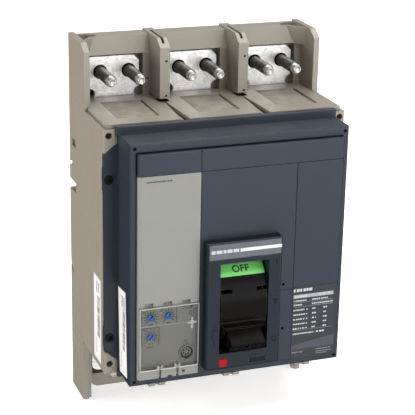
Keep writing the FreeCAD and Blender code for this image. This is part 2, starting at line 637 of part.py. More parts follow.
def contact_carrier(x):
    """Moulded cage with its pivot pin and the two stub pins of the connecting rods."""
    pin_d, pin_z = carrier_pin(MID_ANGLE)
    pin_d, pin_z = pin_d + CARRIER_D, pin_z + SHAFT_Z
    parts = []
    for x0, x1 in ((x - 17.5, x - 14), (x + 14, x + 17.5)):
        cheek = block(x0, x1, 29.5, 51, SHAFT_Z - 9, SHAFT_Z + 27)
        parts.append(round_edges(cheek, 4.0, runs_along("x")))
    parts.append(block(x - 16, x + 16, 47, 51, SHAFT_Z - 5, SHAFT_Z + 22))
    parts.append(along_x(CARRIER_D, SHAFT_Z, 3.0, x - 24, x + 24))
    parts.append(along_x(pin_d, pin_z, PIN_R, x - 23.4, x - 15))
    parts.append(along_x(pin_d, pin_z, PIN_R, x + 15, x + 23.4))
    return turned(fuse(*parts), -OPEN_ANGLE, CARRIER_D, SHAFT_Z)


def connecting_rod(x):
    """Two flat rods from the shaft's cranks to the carrier, drawn at rest."""
    off_d, off_z = carrier_pin(-MID_ANGLE)
    z = SHAFT_Z + off_z
    d_near, d_far = CARRIER_D + off_d, SHAFT_D + off_d
    rods = []
    for x0, x1 in ((x - 22.6, x - 19.4), (x + 19.4, x + 22.6)):
        bar = block(x0, x1, d_near, d_far, z - 4.5, z + 4.5)
        bar = fuse(bar, along_x(d_near, z, 6.0, x0, x1), along_x(d_far, z, 6.0, x0, x1))
        rods.append(cut(bar, along_x(d_near, z, FREE_PIN_R, x0 - 1, x1 + 1),
                        along_x(d_far, z, PIN_R + RUNNING, x0 - 1, x1 + 1)))
    return rods


def drive_side():
    """Unit step square to the line from the toggle's axis to the pole shaft's axis."""
    dd, dz = SHAFT_D - TOGGLE_D, SHAFT_Z - TOGGLE_Z
    length = math.hypot(dd, dz)
    return -dz / length, dd / length


def drive_pin(centre_d, centre_z, radius, angle):
    side = drive_side()
    rad = math.radians(angle)
    d = side[0] * math.cos(rad) - side[1] * math.sin(rad)
    z = side[0] * math.sin(rad) + side[1] * math.cos(rad)
    return centre_d + radius * d, centre_z + radius * z


def crank_arm(x0, x1, d0, z0, d1, z1, r0, r1):
    """Flat arm with two round ends."""
    dd, dz = d1 - d0, z1 - z0
    length = math.hypot(dd, dz)
    nd, nz = -dz / length, dd / length
    points = [(d0 + nd * r1, z0 + nz * r1), (d1 + nd * r1, z1 + nz * r1), (d1 - nd * r1, z1 - nz * r1),
              (d0 - nd * r1, z0 - nz * r1)]
    return fuse(side_profile(points, x0, x1), along_x(d0, z0, r0, x0, x1), along_x(d1, z1, r1, x0, x1))


def pole_shaft():
    """Round shaft with a pair of cranks at every pole and one forked crank for the drive link."""
    parts = [along_x(SHAFT_D, SHAFT_Z, SHAFT_R, -98, 98)]
    off_d, off_z = carrier_pin(-MID_ANGLE)
    pin_d, pin_z = SHAFT_D + off_d, SHAFT_Z + off_z
    for x in POLES:
        for side in (-1, 1):
            x0, x1 = sorted((x + side * 23.4, x + side * 27.4))
            parts.append(crank_arm(x0, x1, SHAFT_D, SHAFT_Z, pin_d, pin_z, 12, 6))
            p0, p1 = sorted((x + side * 19.0, x + side * 25.0))
            parts.append(along_x(pin_d, pin_z, PIN_R, p0, p1))
    end_d, end_z = drive_pin(SHAFT_D, SHAFT_Z, DRIVE_SHAFT_CRANK, -MID_ANGLE)
    for x0, x1 in ((-8, -3.4), (3.4, 8)):
        parts.append(crank_arm(x0, x1, SHAFT_D, SHAFT_Z, end_d, end_z, 12, 5))
    parts.append(along_x(end_d, end_z, 2.5, -6, 6))
    return fuse(*parts)


def drive_link():
    """Link from the shaft's fork to the toggle, with a short slot at the toggle end."""
    near_d, near_z = drive_pin(SHAFT_D, SHAFT_Z, DRIVE_SHAFT_CRANK, -MID_ANGLE)
    far_d, far_z = drive_pin(TOGGLE_D, TOGGLE_Z, DRIVE_TOGGLE_CRANK, TOGGLE_OFF)
    body = crank_arm(-2.6, 2.6, near_d, near_z, far_d, far_z, 5, 5)
    tools = [along_x(near_d, near_z, 2.5 + RUNNING, -4, 4), along_x(far_d, far_z, 3.9, -4, 4)]
    return cut(body, *tools)


def flexible_braid(x):
    """Folded copper strap from the lower conductor towards the finger tails."""
    return side_profile([(31, -47), (31, -57), (34, -57), (38, -48), (38.5, -38), (36, -31), (33.5, -32),
                         (35.5, -39), (35, -46), (33.5, -47)], x - 12, x + 12)


# ---- arc chutes ----
def chute_plan(x):
    """Outline of a chute's top: narrow between the shroud walls, wedge-shaped gaps in front."""
    left = -102.0 if x < 0 else x - 34.6
    right = 102.0 if x > 0 else x + 34.6
    taper = 3.6
    back_left = -99.5 if x < 0 else x - 30.2
    back_right = 99.5 if x > 0 else x + 30.2
    front_left = left if x < 0 else left + taper
    front_right = right if x > 0 else right - taper
    return [(back_left, 22.4), (back_left, 50.4), (left, 50.4), (front_left, 104), (front_right, 104),
            (right, 50.4), (back_right, 50.4), (back_right, 22.4)]


def arc_chute(x):
    cap = plan_profile(chute_plan(x), 107.8, 111.0)
    body = block(x - CHUTE_HALF, x + CHUTE_HALF, 24, 102, 62, 107.8)
    lower = block(x - CHUTE_HALF, x + CHUTE_HALF, 53, 102, 22, 62)
    body = fuse(cap, body, lower)
    skin = 3.0
    tools = [
        block(x - CHUTE_HALF + skin, x + CHUTE_HALF - skin, 23, 102 - skin, 21, 104),
        block(x - 18.4, x + 18.4, 37.5, 88.7, 103, 112),
    ]
    ledge = block(x - 20, x + 20, 36, 90.3, 106.5, 109.0)
    return cut(body, *tools, ledge)


def arc_filter(x):
    """Stack of woven wire that cools the gas on its way out."""
    return block(x - 19.8, x + 19.8, 36.2, 90.1, 106.6, 108.9)


def splitter_plates(x):
    plates = []
    half = CHUTE_HALF - 3.2
    for k in range(7):
        z = 65 + 5.6 * k
        sheet = block(x - half, x + half, 46, 98.5, z, z + 1.5)
        mouth = plan_profile([(x - 13, 45), (x - 4, 68), (x + 4, 68), (x + 13, 45)], z - 1, z + 3)
        plates.append(cut(sheet, mouth))
    return plates


# ---- operating mechanism ----
def mechanism_plates():
    """Two side plates that carry the toggle, the shaft and the trip bar."""
    outline = [(62, -30), (62, 6), (84, 14), (128, -2), (134, -30), (134, -88), (124, -100), (108, -100),
               (96, -92), (74, -92), (70, -40)]
    plates = []
    for x0, x1 in ((-32.2, -29.2), (29.2, 32.2)):
        plate = side_profile(outline, x0, x1)
        holes = [
            along_x(TOGGLE_D, TOGGLE_Z, 4.0 + RUNNING, x0 - 1, x1 + 1),
            along_x(SHAFT_D, SHAFT_Z, SHAFT_R + RUNNING, x0 - 1, x1 + 1),
            along_x(TRIP_BAR_D, TRIP_BAR_Z, 2.0 + RUNNING, x0 - 1, x1 + 1),
        ]
        plates.append(cut(plate, *holes))
    spring_d, spring_z = spring_anchor()
    plates[0] = fuse(plates[0], along_x(spring_d, spring_z, 1.6, -29.5, -23.5))
    plates[1] = fuse(plates[1], along_x(spring_d, spring_z, 1.6, 23.5, 29.5))
    return plates


def spring_anchor():
    step = direction(-120)
    return TOGGLE_D + 50 * step[0], TOGGLE_Z + 50 * step[1]


def spring_post():
    step = direction(-150)
    return TOGGLE_D + 22 * step[0], TOGGLE_Z + 22 * step[1]


def toggle_springs():
    post_d, post_z = spring_post()
    anchor_d, anchor_z = spring_anchor()
    length = math.hypot(post_d - anchor_d, post_z - anchor_z)
    lean = math.degrees(math.atan2(post_d - anchor_d, post_z - anchor_z))
    springs = []
    for x in (-25.9, 25.9):
        spring = coil(x, anchor_d, anchor_z + 2.6, 2.3, 1.0, length - 5.2, 8)
        spring.rotate(Vector(x, -anchor_d, anchor_z), Vector(1, 0, 0), lean)
        springs.append(spring)
    return springs


def toggle_handle():
    """Handle, curved barrel, its two side webs, hinge stubs and the fork for the drive link."""
    shell = sector(BARREL_R - BARREL_WALL, BARREL_R, -116, 61, -BARREL_HALF, BARREL_HALF)
    rim = sector(BARREL_R - 1, BARREL_R + 1.0, -20.5, -17.2, -BARREL_HALF, BARREL_HALF)
    parts = [shell, rim]
    for x0, x1 in ((-BARREL_HALF, -17.8), (17.8, BARREL_HALF)):
        parts.append(sector(6.0, BARREL_R - 1, -100, 40, x0, x1))
        parts.append(along_x(TOGGLE_D, TOGGLE_Z, 9.0, x0, x1))
    parts.append(along_x(TOGGLE_D, TOGGLE_Z, 4.0, -33.0, -18.5))
    parts.append(along_x(TOGGLE_D, TOGGLE_Z, 4.0, 18.5, 33.0))
    pin_d, pin_z = drive_pin(TOGGLE_D, TOGGLE_Z, DRIVE_TOGGLE_CRANK, TOGGLE_OFF)
    for x0, x1 in ((-8, -3.6), (3.6, 8)):
        far = direction(-80)
        parts.append(crank_arm(x0, x1, pin_d, pin_z, TOGGLE_D + 41 * far[0], TOGGLE_Z + 41 * far[1], 5, 5))
    parts.append(along_x(pin_d, pin_z, 2.5, -6, 6))
    body = fuse(*parts)
    tools = []
    for x0, x1 in BARREL_SLOTS:
        tools.append(sector(BARREL_R - 5, BARREL_R + 2, *SLOT_ANGLES, x0, x1))
    body = cut(body, *tools)
    # the handle is drawn level with the hinge and turned down to its rest direction
    grip = block(-HANDLE_HALF, HANDLE_HALF, TOGGLE_D + 41, TOGGLE_D + HANDLE_TIP, TOGGLE_Z - HANDLE_THICK / 2,
                 TOGGLE_Z + HANDLE_THICK / 2)
    grip = round_edges(grip, 0.9, lambda e: on_front(TOGGLE_D + HANDLE_TIP)(e) or runs_along("y")(e))
    root = block(-HANDLE_HALF - 2.2, HANDLE_HALF + 2.2, TOGGLE_D + 41, TOGGLE_D + 46.3,
                 TOGGLE_Z - 6.5, TOGGLE_Z + 6.5)
    tip = TOGGLE_D + HANDLE_TIP
    holes = [along_d(-10.4, TOGGLE_Z, 0.9, tip - 3, tip + 1), along_d(10.4, TOGGLE_Z, 0.9, tip - 3, tip + 1),
             along_d(-0.6, TOGGLE_Z, 2.4, tip - 4, tip + 1)]
    handle = turned(cut(fuse(grip, root), *holes), TOGGLE_OFF)
    return fuse(body, handle)


def handle_yoke():
    """Steel cheeks on the toggle with the posts of the two toggle springs."""
    post_d, post_z = spring_post()
    cheeks = []
    for side in (-1, 1):
        x0, x1 = sorted((side * 20.5, side * 22.4))
        arm = crank_arm(x0, x1, TOGGLE_D, TOGGLE_Z, post_d, post_z, 8, 4)
        p0, p1 = sorted((side * 21.0, side * 28.4))
        arm = fuse(arm, along_x(post_d, post_z, 1.6, p0, p1))
        cheeks.append(cut(arm, along_x(TOGGLE_D, TOGGLE_Z, 4.0, x0 - 1, x1 + 1)))
    return cheeks


def off_flag():
    return sector(BARREL_R, BARREL_R + 0.7, 35.2, 60, -BARREL_HALF + 0.2, BARREL_HALF - 0.2)


def on_flag():
    return sector(BARREL_R, BARREL_R + 0.7, -115, -92, -BARREL_HALF + 0.2, BARREL_HALF - 0.2)


def trip_button():
    head = block(BUTTON_X - BUTTON_HALF, BUTTON_X + BUTTON_HALF, BEZEL_FRONT - 6, BEZEL_FRONT + 0.4,
                 BUTTON_Z - BUTTON_HALF, BUTTON_Z + BUTTON_HALF)
    head = bevel_edges(head, 0.4, on_front(BEZEL_FRONT + 0.4))
    stem = along_d(BUTTON_X, BUTTON_Z, 1.8, 125.4, BEZEL_FRONT - 5)
    return fuse(head, stem)


def button_spring():
    """Return spring between the fascia and the button's head."""
    spring = coil(BUTTON_X, 0, 0, 2.5, 0.6, 2.7, 3)
    spring.rotate(Vector(BUTTON_X, 0, 0), Vector(1, 0, 0), 90)
    spring.translate(Vector(0, -PANEL_FRONT - 0.32, BUTTON_Z))
    return spring


def trip_bar():
    bar = along_x(TRIP_BAR_D, TRIP_BAR_Z, 2.0, -34.0, 34.0)
    outline = [(TRIP_BAR_D - 1.9, TRIP_BAR_Z), (122.2, -82.2), (124.9, -82.2), (TRIP_BAR_D + 1.9, TRIP_BAR_Z)]
    lever = side_profile(outline, BUTTON_X - 2.5, BUTTON_X + 2.5)
    return fuse(bar, lever)


# ---- fasteners and labels ----
def cover_screws():
    screws = []
    for x in (-COVER_SCREW_X, COVER_SCREW_X):
        for z in COVER_SCREW_Z:
            screws.append(cross_screw(x, z, 1.4, 0.9, COVER_FRONT - 2.2, 8, 0.9))
    return screws


def flange_screws():
    screws = []
    for x in (-BOSS_X, BOSS_X):
        for z in FLANGE_SCREW_Z:
            screws.append(cross_screw(x, z, 3.9, 1.9, CASE_FRONT - 1.6, 10, 1.9))
    return screws


def side_labels():
    case_label = block(-HALF_W - 0.15, -HALF_W, 76, 96.5, -101.5, -25.5)
    points = [(109.5, -25.9), (130, -24.2), (134.4, -98.8), (113.9, -101.2)]
    box_label = side_profile(points, -COVER_HALF - 0.15, -COVER_HALF)
    return [case_label, box_label]


save("rear_case", rear_case())
save("rear_cover_upper", rear_cover_upper())
save("rear_cover_lower", rear_cover_lower())
save("front_case", front_case())
save("upper_terminal_shroud", upper_terminal_shroud())
save("lower_terminal_shroud", lower_terminal_shroud())
save("front_cover", front_cover())
save("cover_clips", *cover_clips())
save("front_fascia", front_fascia())
save("nameplate", nameplate())
save("handle_bezel", handle_bezel())
save("trip_unit_housing", trip_unit_housing())
save("trip_unit_cover", trip_unit_cover())
save("test_connector", test_connector())
save("trip_unit_screws", *[cross_screw(x, z, 1.9, 1.0, TRIP_FLOOR, 5, 0.8) for x, z in UNIT_SCREWS])
for number, (dial_x, dial_z) in enumerate(DIALS, 1):
    save("setting_dial_%d" % number, setting_dial(dial_x, dial_z))
for number, pole_x in enumerate(POLES, 1):
    save("arc_chute_%d" % number, arc_chute(pole_x))
    save("upper_terminal_%d" % number, upper_terminal(pole_x))
    save("lower_terminal_%d" % number, lower_terminal(pole_x))
    save("current_transformer_%d" % number, current_transformer(pole_x))
    save("contact_carrier_%d" % number, contact_carrier(pole_x))
    save("contact_fingers_%d" % number, *contact_fingers(pole_x))
    save("connecting_rods_%d" % number, *connecting_rod(pole_x))
save("arc_filters", *[arc_filter(x) for x in POLES])
save("splitter_plates", *[plate for x in POLES for plate in splitter_plates(x)])
save("fixed_contacts", *[fixed_contact(x) for x in POLES])
save("flexible_braids", *[flexible_braid(x) for x in POLES])
save("upper_studs", *[bolt_stud(x + s, STUD_Z) for x in POLES for s in STUD_OFFSETS])
save("lower_studs", *[bolt_stud(x + s, -STUD_Z) for x in POLES for s in STUD_OFFSETS])
save("pole_shaft", pole_shaft())
save("drive_link", drive_link())
save("mechanism_plates", *mechanism_plates())
save("toggle_springs", *toggle_springs())
save("toggle_handle", toggle_handle())
save("handle_yoke", *handle_yoke())
save("off_flag", off_flag())
save("on_flag", on_flag())
save("trip_button", trip_button())
save("trip_button_spring", button_spring())
save("trip_bar", trip_bar())
save("cover_screws", *cover_screws())
save("flange_screws", *flange_screws())
save("side_labels", *side_labels())
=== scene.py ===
# %% [markdown]
# # Dressing a three-pole circuit breaker
# The casings, the terminals and everything that turns or slides come ready from the frame, at
# their real size.  This lesson gives each of them its finish, adds the fine work that a frame
# doesn't carry (threads, woven wire, printing, small mouldings), and sets up the studio.

# %% Load the frame
import json
import math
import random
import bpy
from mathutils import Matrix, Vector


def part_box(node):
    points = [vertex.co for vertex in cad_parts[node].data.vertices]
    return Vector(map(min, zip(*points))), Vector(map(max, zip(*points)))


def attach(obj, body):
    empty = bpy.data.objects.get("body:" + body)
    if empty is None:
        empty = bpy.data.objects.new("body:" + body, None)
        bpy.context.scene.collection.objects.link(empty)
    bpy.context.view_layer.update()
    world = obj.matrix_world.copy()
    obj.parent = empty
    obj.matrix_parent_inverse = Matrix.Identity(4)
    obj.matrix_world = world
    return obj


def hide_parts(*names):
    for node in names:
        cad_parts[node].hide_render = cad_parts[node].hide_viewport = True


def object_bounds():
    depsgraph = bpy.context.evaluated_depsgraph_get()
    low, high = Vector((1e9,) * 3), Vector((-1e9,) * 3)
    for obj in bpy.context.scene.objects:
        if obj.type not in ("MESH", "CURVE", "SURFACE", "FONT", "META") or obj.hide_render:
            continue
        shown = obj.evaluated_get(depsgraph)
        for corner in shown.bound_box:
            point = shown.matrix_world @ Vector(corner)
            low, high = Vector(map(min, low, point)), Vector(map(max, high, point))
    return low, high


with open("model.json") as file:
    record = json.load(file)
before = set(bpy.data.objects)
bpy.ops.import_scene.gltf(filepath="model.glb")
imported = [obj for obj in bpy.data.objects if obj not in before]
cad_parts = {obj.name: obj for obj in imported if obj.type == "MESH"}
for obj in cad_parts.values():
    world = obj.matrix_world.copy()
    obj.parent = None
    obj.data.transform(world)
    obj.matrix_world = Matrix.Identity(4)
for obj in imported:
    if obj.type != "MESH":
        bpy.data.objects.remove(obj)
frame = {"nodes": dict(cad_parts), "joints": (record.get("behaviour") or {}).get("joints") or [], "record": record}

from types import SimpleNamespace

import bmesh
import bpy
from mathutils import Matrix, Vector

cad_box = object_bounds()

# %% [markdown]
# ## Places
# A breaker is measured from its flat back face, so every place here is given the way a fitter
# reads it: millimetres across, millimetres forward of the back face, and millimetres up.
# The sides of each part are read from the frame, and a detail is then set off from those sides.

# %% Measure parts of the frame
MM = 0.001


def place(across, forward, up):
    """A point in metres from millimetres across, forward of the back face, and up."""
    return Vector((across * MM, -forward * MM, up * MM))


def sides(points):
    """The six sides round some points, in millimetres."""
    xs = [p.x / MM for p in points]
    depths = [-p.y / MM for p in points]
    zs = [p.z / MM for p in points]
    return SimpleNamespace(left=min(xs), right=max(xs), back=min(depths), front=max(depths),
                           bottom=min(zs), top=max(zs), middle=(min(xs) + max(xs)) / 2,
                           level=(min(zs) + max(zs)) / 2)


def part(node):
    return sides(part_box(node))


case = part("rear_case")
bezel = part("handle_bezel")
trip_unit = part("trip_unit_housing")
plate = part("nameplate")
print("bezel", round(bezel.right - bezel.left, 1), "mm wide, face", round(bezel.front, 1), "mm forward")

# %% [markdown]
# ## Making a piece
# A new piece is a mesh whose points are already in their final place.  It is told which body of
# the breaker carries it and which finish of the parts list it belongs to.

# %% Hand a mesh over as a piece
def piece(name, mesh, material, body):
    """Turn a bmesh into an object that rides on a body of the breaker."""
    data = bpy.data.meshes.new(name)
    bmesh.ops.recalc_face_normals(mesh, faces=mesh.faces)
    mesh.to_mesh(data)
    mesh.free()
    data.materials.append(material)
    thing = bpy.data.objects.new(name, data)
    bpy.context.scene.collection.objects.link(thing)
    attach(thing, body)
    print(name, len(data.polygons), "faces")
    return thing


def slab(mesh, across, forward, up, edge=0.0):
    """Add a block between two widths, two depths and two heights, its edges eased by edge."""
    middle = place(sum(across) / 2, sum(forward) / 2, sum(up) / 2)
    size = [abs(across[1] - across[0]) * MM, abs(forward[1] - forward[0]) * MM, abs(up[1] - up[0]) * MM]
    shape = Matrix.Translation(middle) @ Matrix.Diagonal((*size, 1.0))
    made = bmesh.ops.create_cube(mesh, size=1.0, matrix=shape)
    if edge:
        rims = list({e for v in made["verts"] for e in v.link_edges})
        bmesh.ops.bevel(mesh, geom=rims, offset=edge * MM, offset_type="OFFSET", segments=2, profile=0.5,
                        affect="EDGES", material=-1)
    return made


def bar(mesh, start, end, width, face, proud=0.05):
    """Add a straight printed or moulded line on a face that looks forward."""
    run = math.hypot(end[0] - start[0], end[1] - start[1])
    lean = math.atan2(end[1] - start[1], end[0] - start[0])
    middle = place((start[0] + end[0]) / 2, face, (start[1] + end[1]) / 2)
    turn = Matrix.Rotation(-lean, 4, "Y")
    size = Matrix.Diagonal((run * MM, 2 * proud * MM, width * MM, 1.0))
    bmesh.ops.create_cube(mesh, size=1.0, matrix=Matrix.Translation(middle) @ turn @ size)


def only_points(geometry):
    """The points among the geometry that an operator gives back."""
    return [item for item in geometry if isinstance(item, bmesh.types.BMVert)]


def ring(mesh, across, up, outer, inner, face, proud=0.05, steps=32):
    """Add a flat ring on a face that looks forward."""
    lie = Matrix.Translation(place(across, face + proud, up)) @ Matrix.Rotation(math.pi / 2, 4, "X")
    rims = []
    for radius in (outer, inner):
        made = bmesh.ops.create_circle(mesh, segments=steps, radius=radius * MM, matrix=lie)
        rims += list({e for v in made["verts"] for e in v.link_edges})
    flat = bmesh.ops.bridge_loops(mesh, edges=rims)
    grown = bmesh.ops.extrude_face_region(mesh, geom=flat["faces"])
    bmesh.ops.translate(mesh, verts=only_points(grown["geom"]), vec=(0.0, 2 * proud * MM, 0.0))


def lathe(mesh, across, up, outline, steps=32):
    """Turn an outline of (depth, radius) points round an axis that points forward."""
    centre = place(across, 0, up)
    points = [mesh.verts.new(place(across, depth, up + radius)) for depth, radius in outline]
    edges = [mesh.edges.new(pair) for pair in zip(points, points[1:])]
    bmesh.ops.spin(mesh, geom=points + edges, cent=centre, axis=(0.0, 1.0, 0.0), angle=2 * math.pi,
                   steps=steps, use_merge=True)
    bmesh.ops.remove_doubles(mesh, verts=mesh.verts, dist=0.001 * MM)


def everything(mesh):
    """All of a mesh's geometry, as the operators take it."""
    return mesh.verts[:] + mesh.edges[:] + mesh.faces[:]


# %% [markdown]
# ## Finishes
# Each finish starts from what the real surface is and how it was made.  Colours are written as
# the hex values of a colour chart, and one function makes them linear.  One more function adds
# a shader node, sets it, and joins its sockets.

# %% Colours and nodes
def linear(chart):
    """Linear colour from a hex value of the colour chart."""
    levels = [int(chart[i:i + 2], 16) / 255 for i in (1, 3, 5)]
    return (*[c / 12.92 if c <= 0.04045 else ((c + 0.055) / 1.055) ** 2.4 for c in levels], 1.0)


def add(tree, kind, settings=None, sockets=None):
    """Add a node with its settings; a socket takes a value or another node's output."""
    node = tree.nodes.new(kind)
    for name, value in (settings or {}).items():
        setattr(node, name, value)
    for socket, value in (sockets or {}).items():
        if isinstance(value, bpy.types.NodeSocket):
            tree.links.new(value, node.inputs[socket])
        else:
            node.inputs[socket].default_value = value
    return node


def fine(size):
    """Noise scale for features of this size in millimetres."""
    return 1 / (size * MM)


def blank(name):
    """An empty material and its node tree."""
    material = bpy.data.materials.new(name)
    material.use_nodes = True
    material.node_tree.nodes.clear()
    return material, material.node_tree


def close(tree, shader):
    add(tree, "ShaderNodeOutputMaterial", None, {"Surface": shader.outputs["BSDF"]})


# %% [markdown]
# ### Moulded plastics
# The casings are injection moulded in steel tools whose faces were spark eroded, which leaves a
# fine even grain that scatters the light.  Colour drifts a little where the melt flowed, and the
# edges are made paler, partly as wear from handling and partly as a painted highlight where a
# rounded edge catches the light.  A real grain is taken to be about 0.3 mm and is drawn
# 0.5 mm and up, because anything finer wouldn't show at the size of a catalogue picture.

# %% A moulded plastic
def moulded(name, chart, deep, edge_wear_and_glint_colour, roughness, grain=0.5, depth=0.03, edge=0.5, edge_wear_and_glint=0.5, shine=0.5):
    """Plastic with drifting colour, eroded grain, and eased edges paled by wear and a painted highlight."""
    material, tree = blank(name)
    spot = add(tree, "ShaderNodeTexCoord").outputs["Object"]
    flow = add(tree, "ShaderNodeTexNoise", None, {"Vector": spot, "Scale": fine(38), "Detail": 4.0,
                                                  "Roughness": 0.6})
    speck = add(tree, "ShaderNodeTexNoise", None, {"Vector": spot, "Scale": fine(grain), "Detail": 2.0})
    body = add(tree, "ShaderNodeMix", {"data_type": "RGBA"},
               {0: flow.outputs["Fac"], 6: linear(chart), 7: linear(deep)})
    salt = add(tree, "ShaderNodeMapRange", None, {
        "Value": speck.outputs["Fac"], "From Min": 0.3, "From Max": 0.7, "To Min": 0.93, "To Max": 1.07})
    grained = add(tree, "ShaderNodeVectorMath", {"operation": "SCALE"},
                  {"Vector": body.outputs[2], "Scale": salt.outputs["Result"]})
    eased = add(tree, "ShaderNodeBevel", {"samples": 4}, {"Radius": edge * MM})
    facing = add(tree, "ShaderNodeNewGeometry")
    corner = add(tree, "ShaderNodeVectorMath", {"operation": "DOT_PRODUCT"},
                 {0: eased.outputs["Normal"], 1: facing.outputs["True Normal"]})
    # painted highlight and wear: where the rounded normal turns away from the true one, the colour goes toward the
    # pale edge colour
    edge_wear_and_glint_mask = add(tree, "ShaderNodeMapRange", None, {"Value": corner.outputs["Value"], "From Min": 0.985,
                                                     "From Max": 0.8, "To Min": 0.0, "To Max": edge_wear_and_glint})
    worn_and_glinting = add(tree, "ShaderNodeMix", {"data_type": "RGBA"},
               {0: edge_wear_and_glint_mask.outputs["Result"], 6: grained.outputs["Vector"], 7: linear(edge_wear_and_glint_colour)})
    polish = add(tree, "ShaderNodeMapRange", None, {
        "Value": flow.outputs["Fac"], "From Min": 0.25, "From Max": 0.75,
        "To Min": roughness - 0.06, "To Max": roughness + 0.06})
    relief = add(tree, "ShaderNodeBump", None, {
        "Strength": 0.6, "Distance": depth * MM, "Height": speck.outputs["Fac"],
        "Normal": eased.outputs["Normal"]})
    close(tree, add(tree, "ShaderNodeBsdfPrincipled", None, {
        "Base Color": worn_and_glinting.outputs[2], "Roughness": polish.outputs["Result"], "IOR": 1.5,
        "Specular IOR Level": shine, "Normal": relief.outputs["Normal"]}))
    return material


# glass-filled polyester: warm grey and dull; its paler edges are partly wear and partly painted highlight
case_grey = moulded("spark_textured_grey_polyester", "#938b7e", "#898174", "#b9b2a6", 0.34,
                    grain=0.6, shine=0.6)
# polycarbonate blend: blue charcoal with a low sheen that lifts its front face
cover_charcoal = moulded("fine_grained_charcoal_polycarbonate", "#262c39", "#222834", "#565d6b", 0.4,
                         grain=0.6, depth=0.05, edge_wear_and_glint=0.35, shine=0.36)
# the handle surround comes from a smoother tool, so it is darker; the glint on its edges is a painted highlight in
# a pale blue-grey edge colour
bezel_charcoal = moulded("satin_charcoal_polycarbonate", "#1b202b", "#171c26", "#6a7280", 0.3, grain=1.2,
                         depth=0.012, edge_wear_and_glint=0.45, shine=0.24)
# the trip unit is a paler, greener grey with a fine pepper grain
trip_grey = moulded("fine_textured_light_grey_abs", "#85847e", "#7f7e78", "#c9c6b6", 0.5,
                    grain=0.5, depth=0.02)
# toughened nylon: nearly black and slightly brown, with a soft gloss; its pale brown edges are mostly a painted
# glint, with some wear
handle_black = moulded("satin_black_nylon", "#0d0a08", "#0a0807", "#86786b", 0.27, grain=1.0, depth=0.015,
                       edge=0.4, edge_wear_and_glint=0.45, shine=0.08)
dial_blue = moulded("glossy_blue_acetal", "#0a74dc", "#086acb", "#4fa4f0", 0.28, grain=0.8, depth=0.008,
                    edge=0.15, shine=0.3)
button_red = moulded("glossy_red_acetal", "#a80f15", "#960c12", "#d0484a", 0.3, grain=0.9, depth=0.01,
                     edge=0.25, edge_wear_and_glint=0.3, shine=0.12)
flag_green = moulded("printed_green_film", "#7bd971", "#72cd68", "#a4e69e", 0.34, grain=0.8, depth=0.006,
                     edge=0.2, shine=0.3)
flag_white = moulded("printed_white_film", "#dcdcd6", "#d2d2cb", "#efefea", 0.34, grain=0.8, depth=0.006,
                     edge=0.2)
carrier_brown = moulded("glass_filled_brown_polyester", "#3a2620", "#31201b", "#6d5144", 0.55)
resin_black = moulded("cast_black_resin", "#17181a", "#121314", "#3a3c40", 0.4, grain=1.4)
print("plastics", len(bpy.data.materials))

# %% [markdown]
# ### Plated and bare metals
# The terminal plates are copper bars, milled flat and dipped in tin, so they are bright but
# cloudy, with faint tool lines across them.  Studs, screws and the mechanism are zinc plated
# steel.  One recipe serves them all: a drawn-out noise for the tool lines, a wide cloudy noise
# for the plating, and a little darkening where the two meet.  Real tool lines are taken
# to be about 0.1 mm apart, and they are drawn 0.6 mm apart so that they show.

# %% A machined and plated metal
def plated(name, bright, dull, roughness, lines=(6.0, 0.6, 0.6), depth=0.02, cloud=7.0, edge=0.3,
           spread=0.16):
    """Metal with tool lines stretched by `lines` millimetres and cloudy plating."""
    material, tree = blank(name)
    spot = add(tree, "ShaderNodeTexCoord").outputs["Object"]
    drawn = add(tree, "ShaderNodeMapping", None, {"Vector": spot, "Scale": [fine(size) for size in lines]})
    tool = add(tree, "ShaderNodeTexNoise", None, {
        "Vector": drawn.outputs["Vector"], "Scale": 1.0, "Detail": 3.0})
    bloom = add(tree, "ShaderNodeTexNoise", None, {"Vector": spot, "Scale": fine(cloud), "Detail": 5.0,
                                                   "Roughness": 0.65})
    tone = add(tree, "ShaderNodeMapRange", None, {
        "Value": bloom.outputs["Fac"], "From Min": 0.35, "From Max": 0.7})
    colour = add(tree, "ShaderNodeMix", {"data_type": "RGBA"},
                 {0: tone.outputs["Result"], 6: linear(bright), 7: linear(dull)})
    mixed = add(tree, "ShaderNodeMath", {"operation": "MULTIPLY"},
                {0: tool.outputs["Fac"], 1: bloom.outputs["Fac"]})
    polish = add(tree, "ShaderNodeMapRange", None, {
        "Value": mixed.outputs["Value"], "From Min": 0.1, "From Max": 0.42,
        "To Min": roughness - spread / 2, "To Max": roughness + spread})
    eased = add(tree, "ShaderNodeBevel", {"samples": 4}, {"Radius": edge * MM})
    relief = add(tree, "ShaderNodeBump", None, {
        "Strength": 0.5, "Distance": depth * MM, "Height": tool.outputs["Fac"],
        "Normal": eased.outputs["Normal"]})
    close(tree, add(tree, "ShaderNodeBsdfPrincipled", None, {
        "Base Color": colour.outputs[2], "Metallic": 1.0, "Roughness": polish.outputs["Result"],
        "Normal": relief.outputs["Normal"]}))
    return material


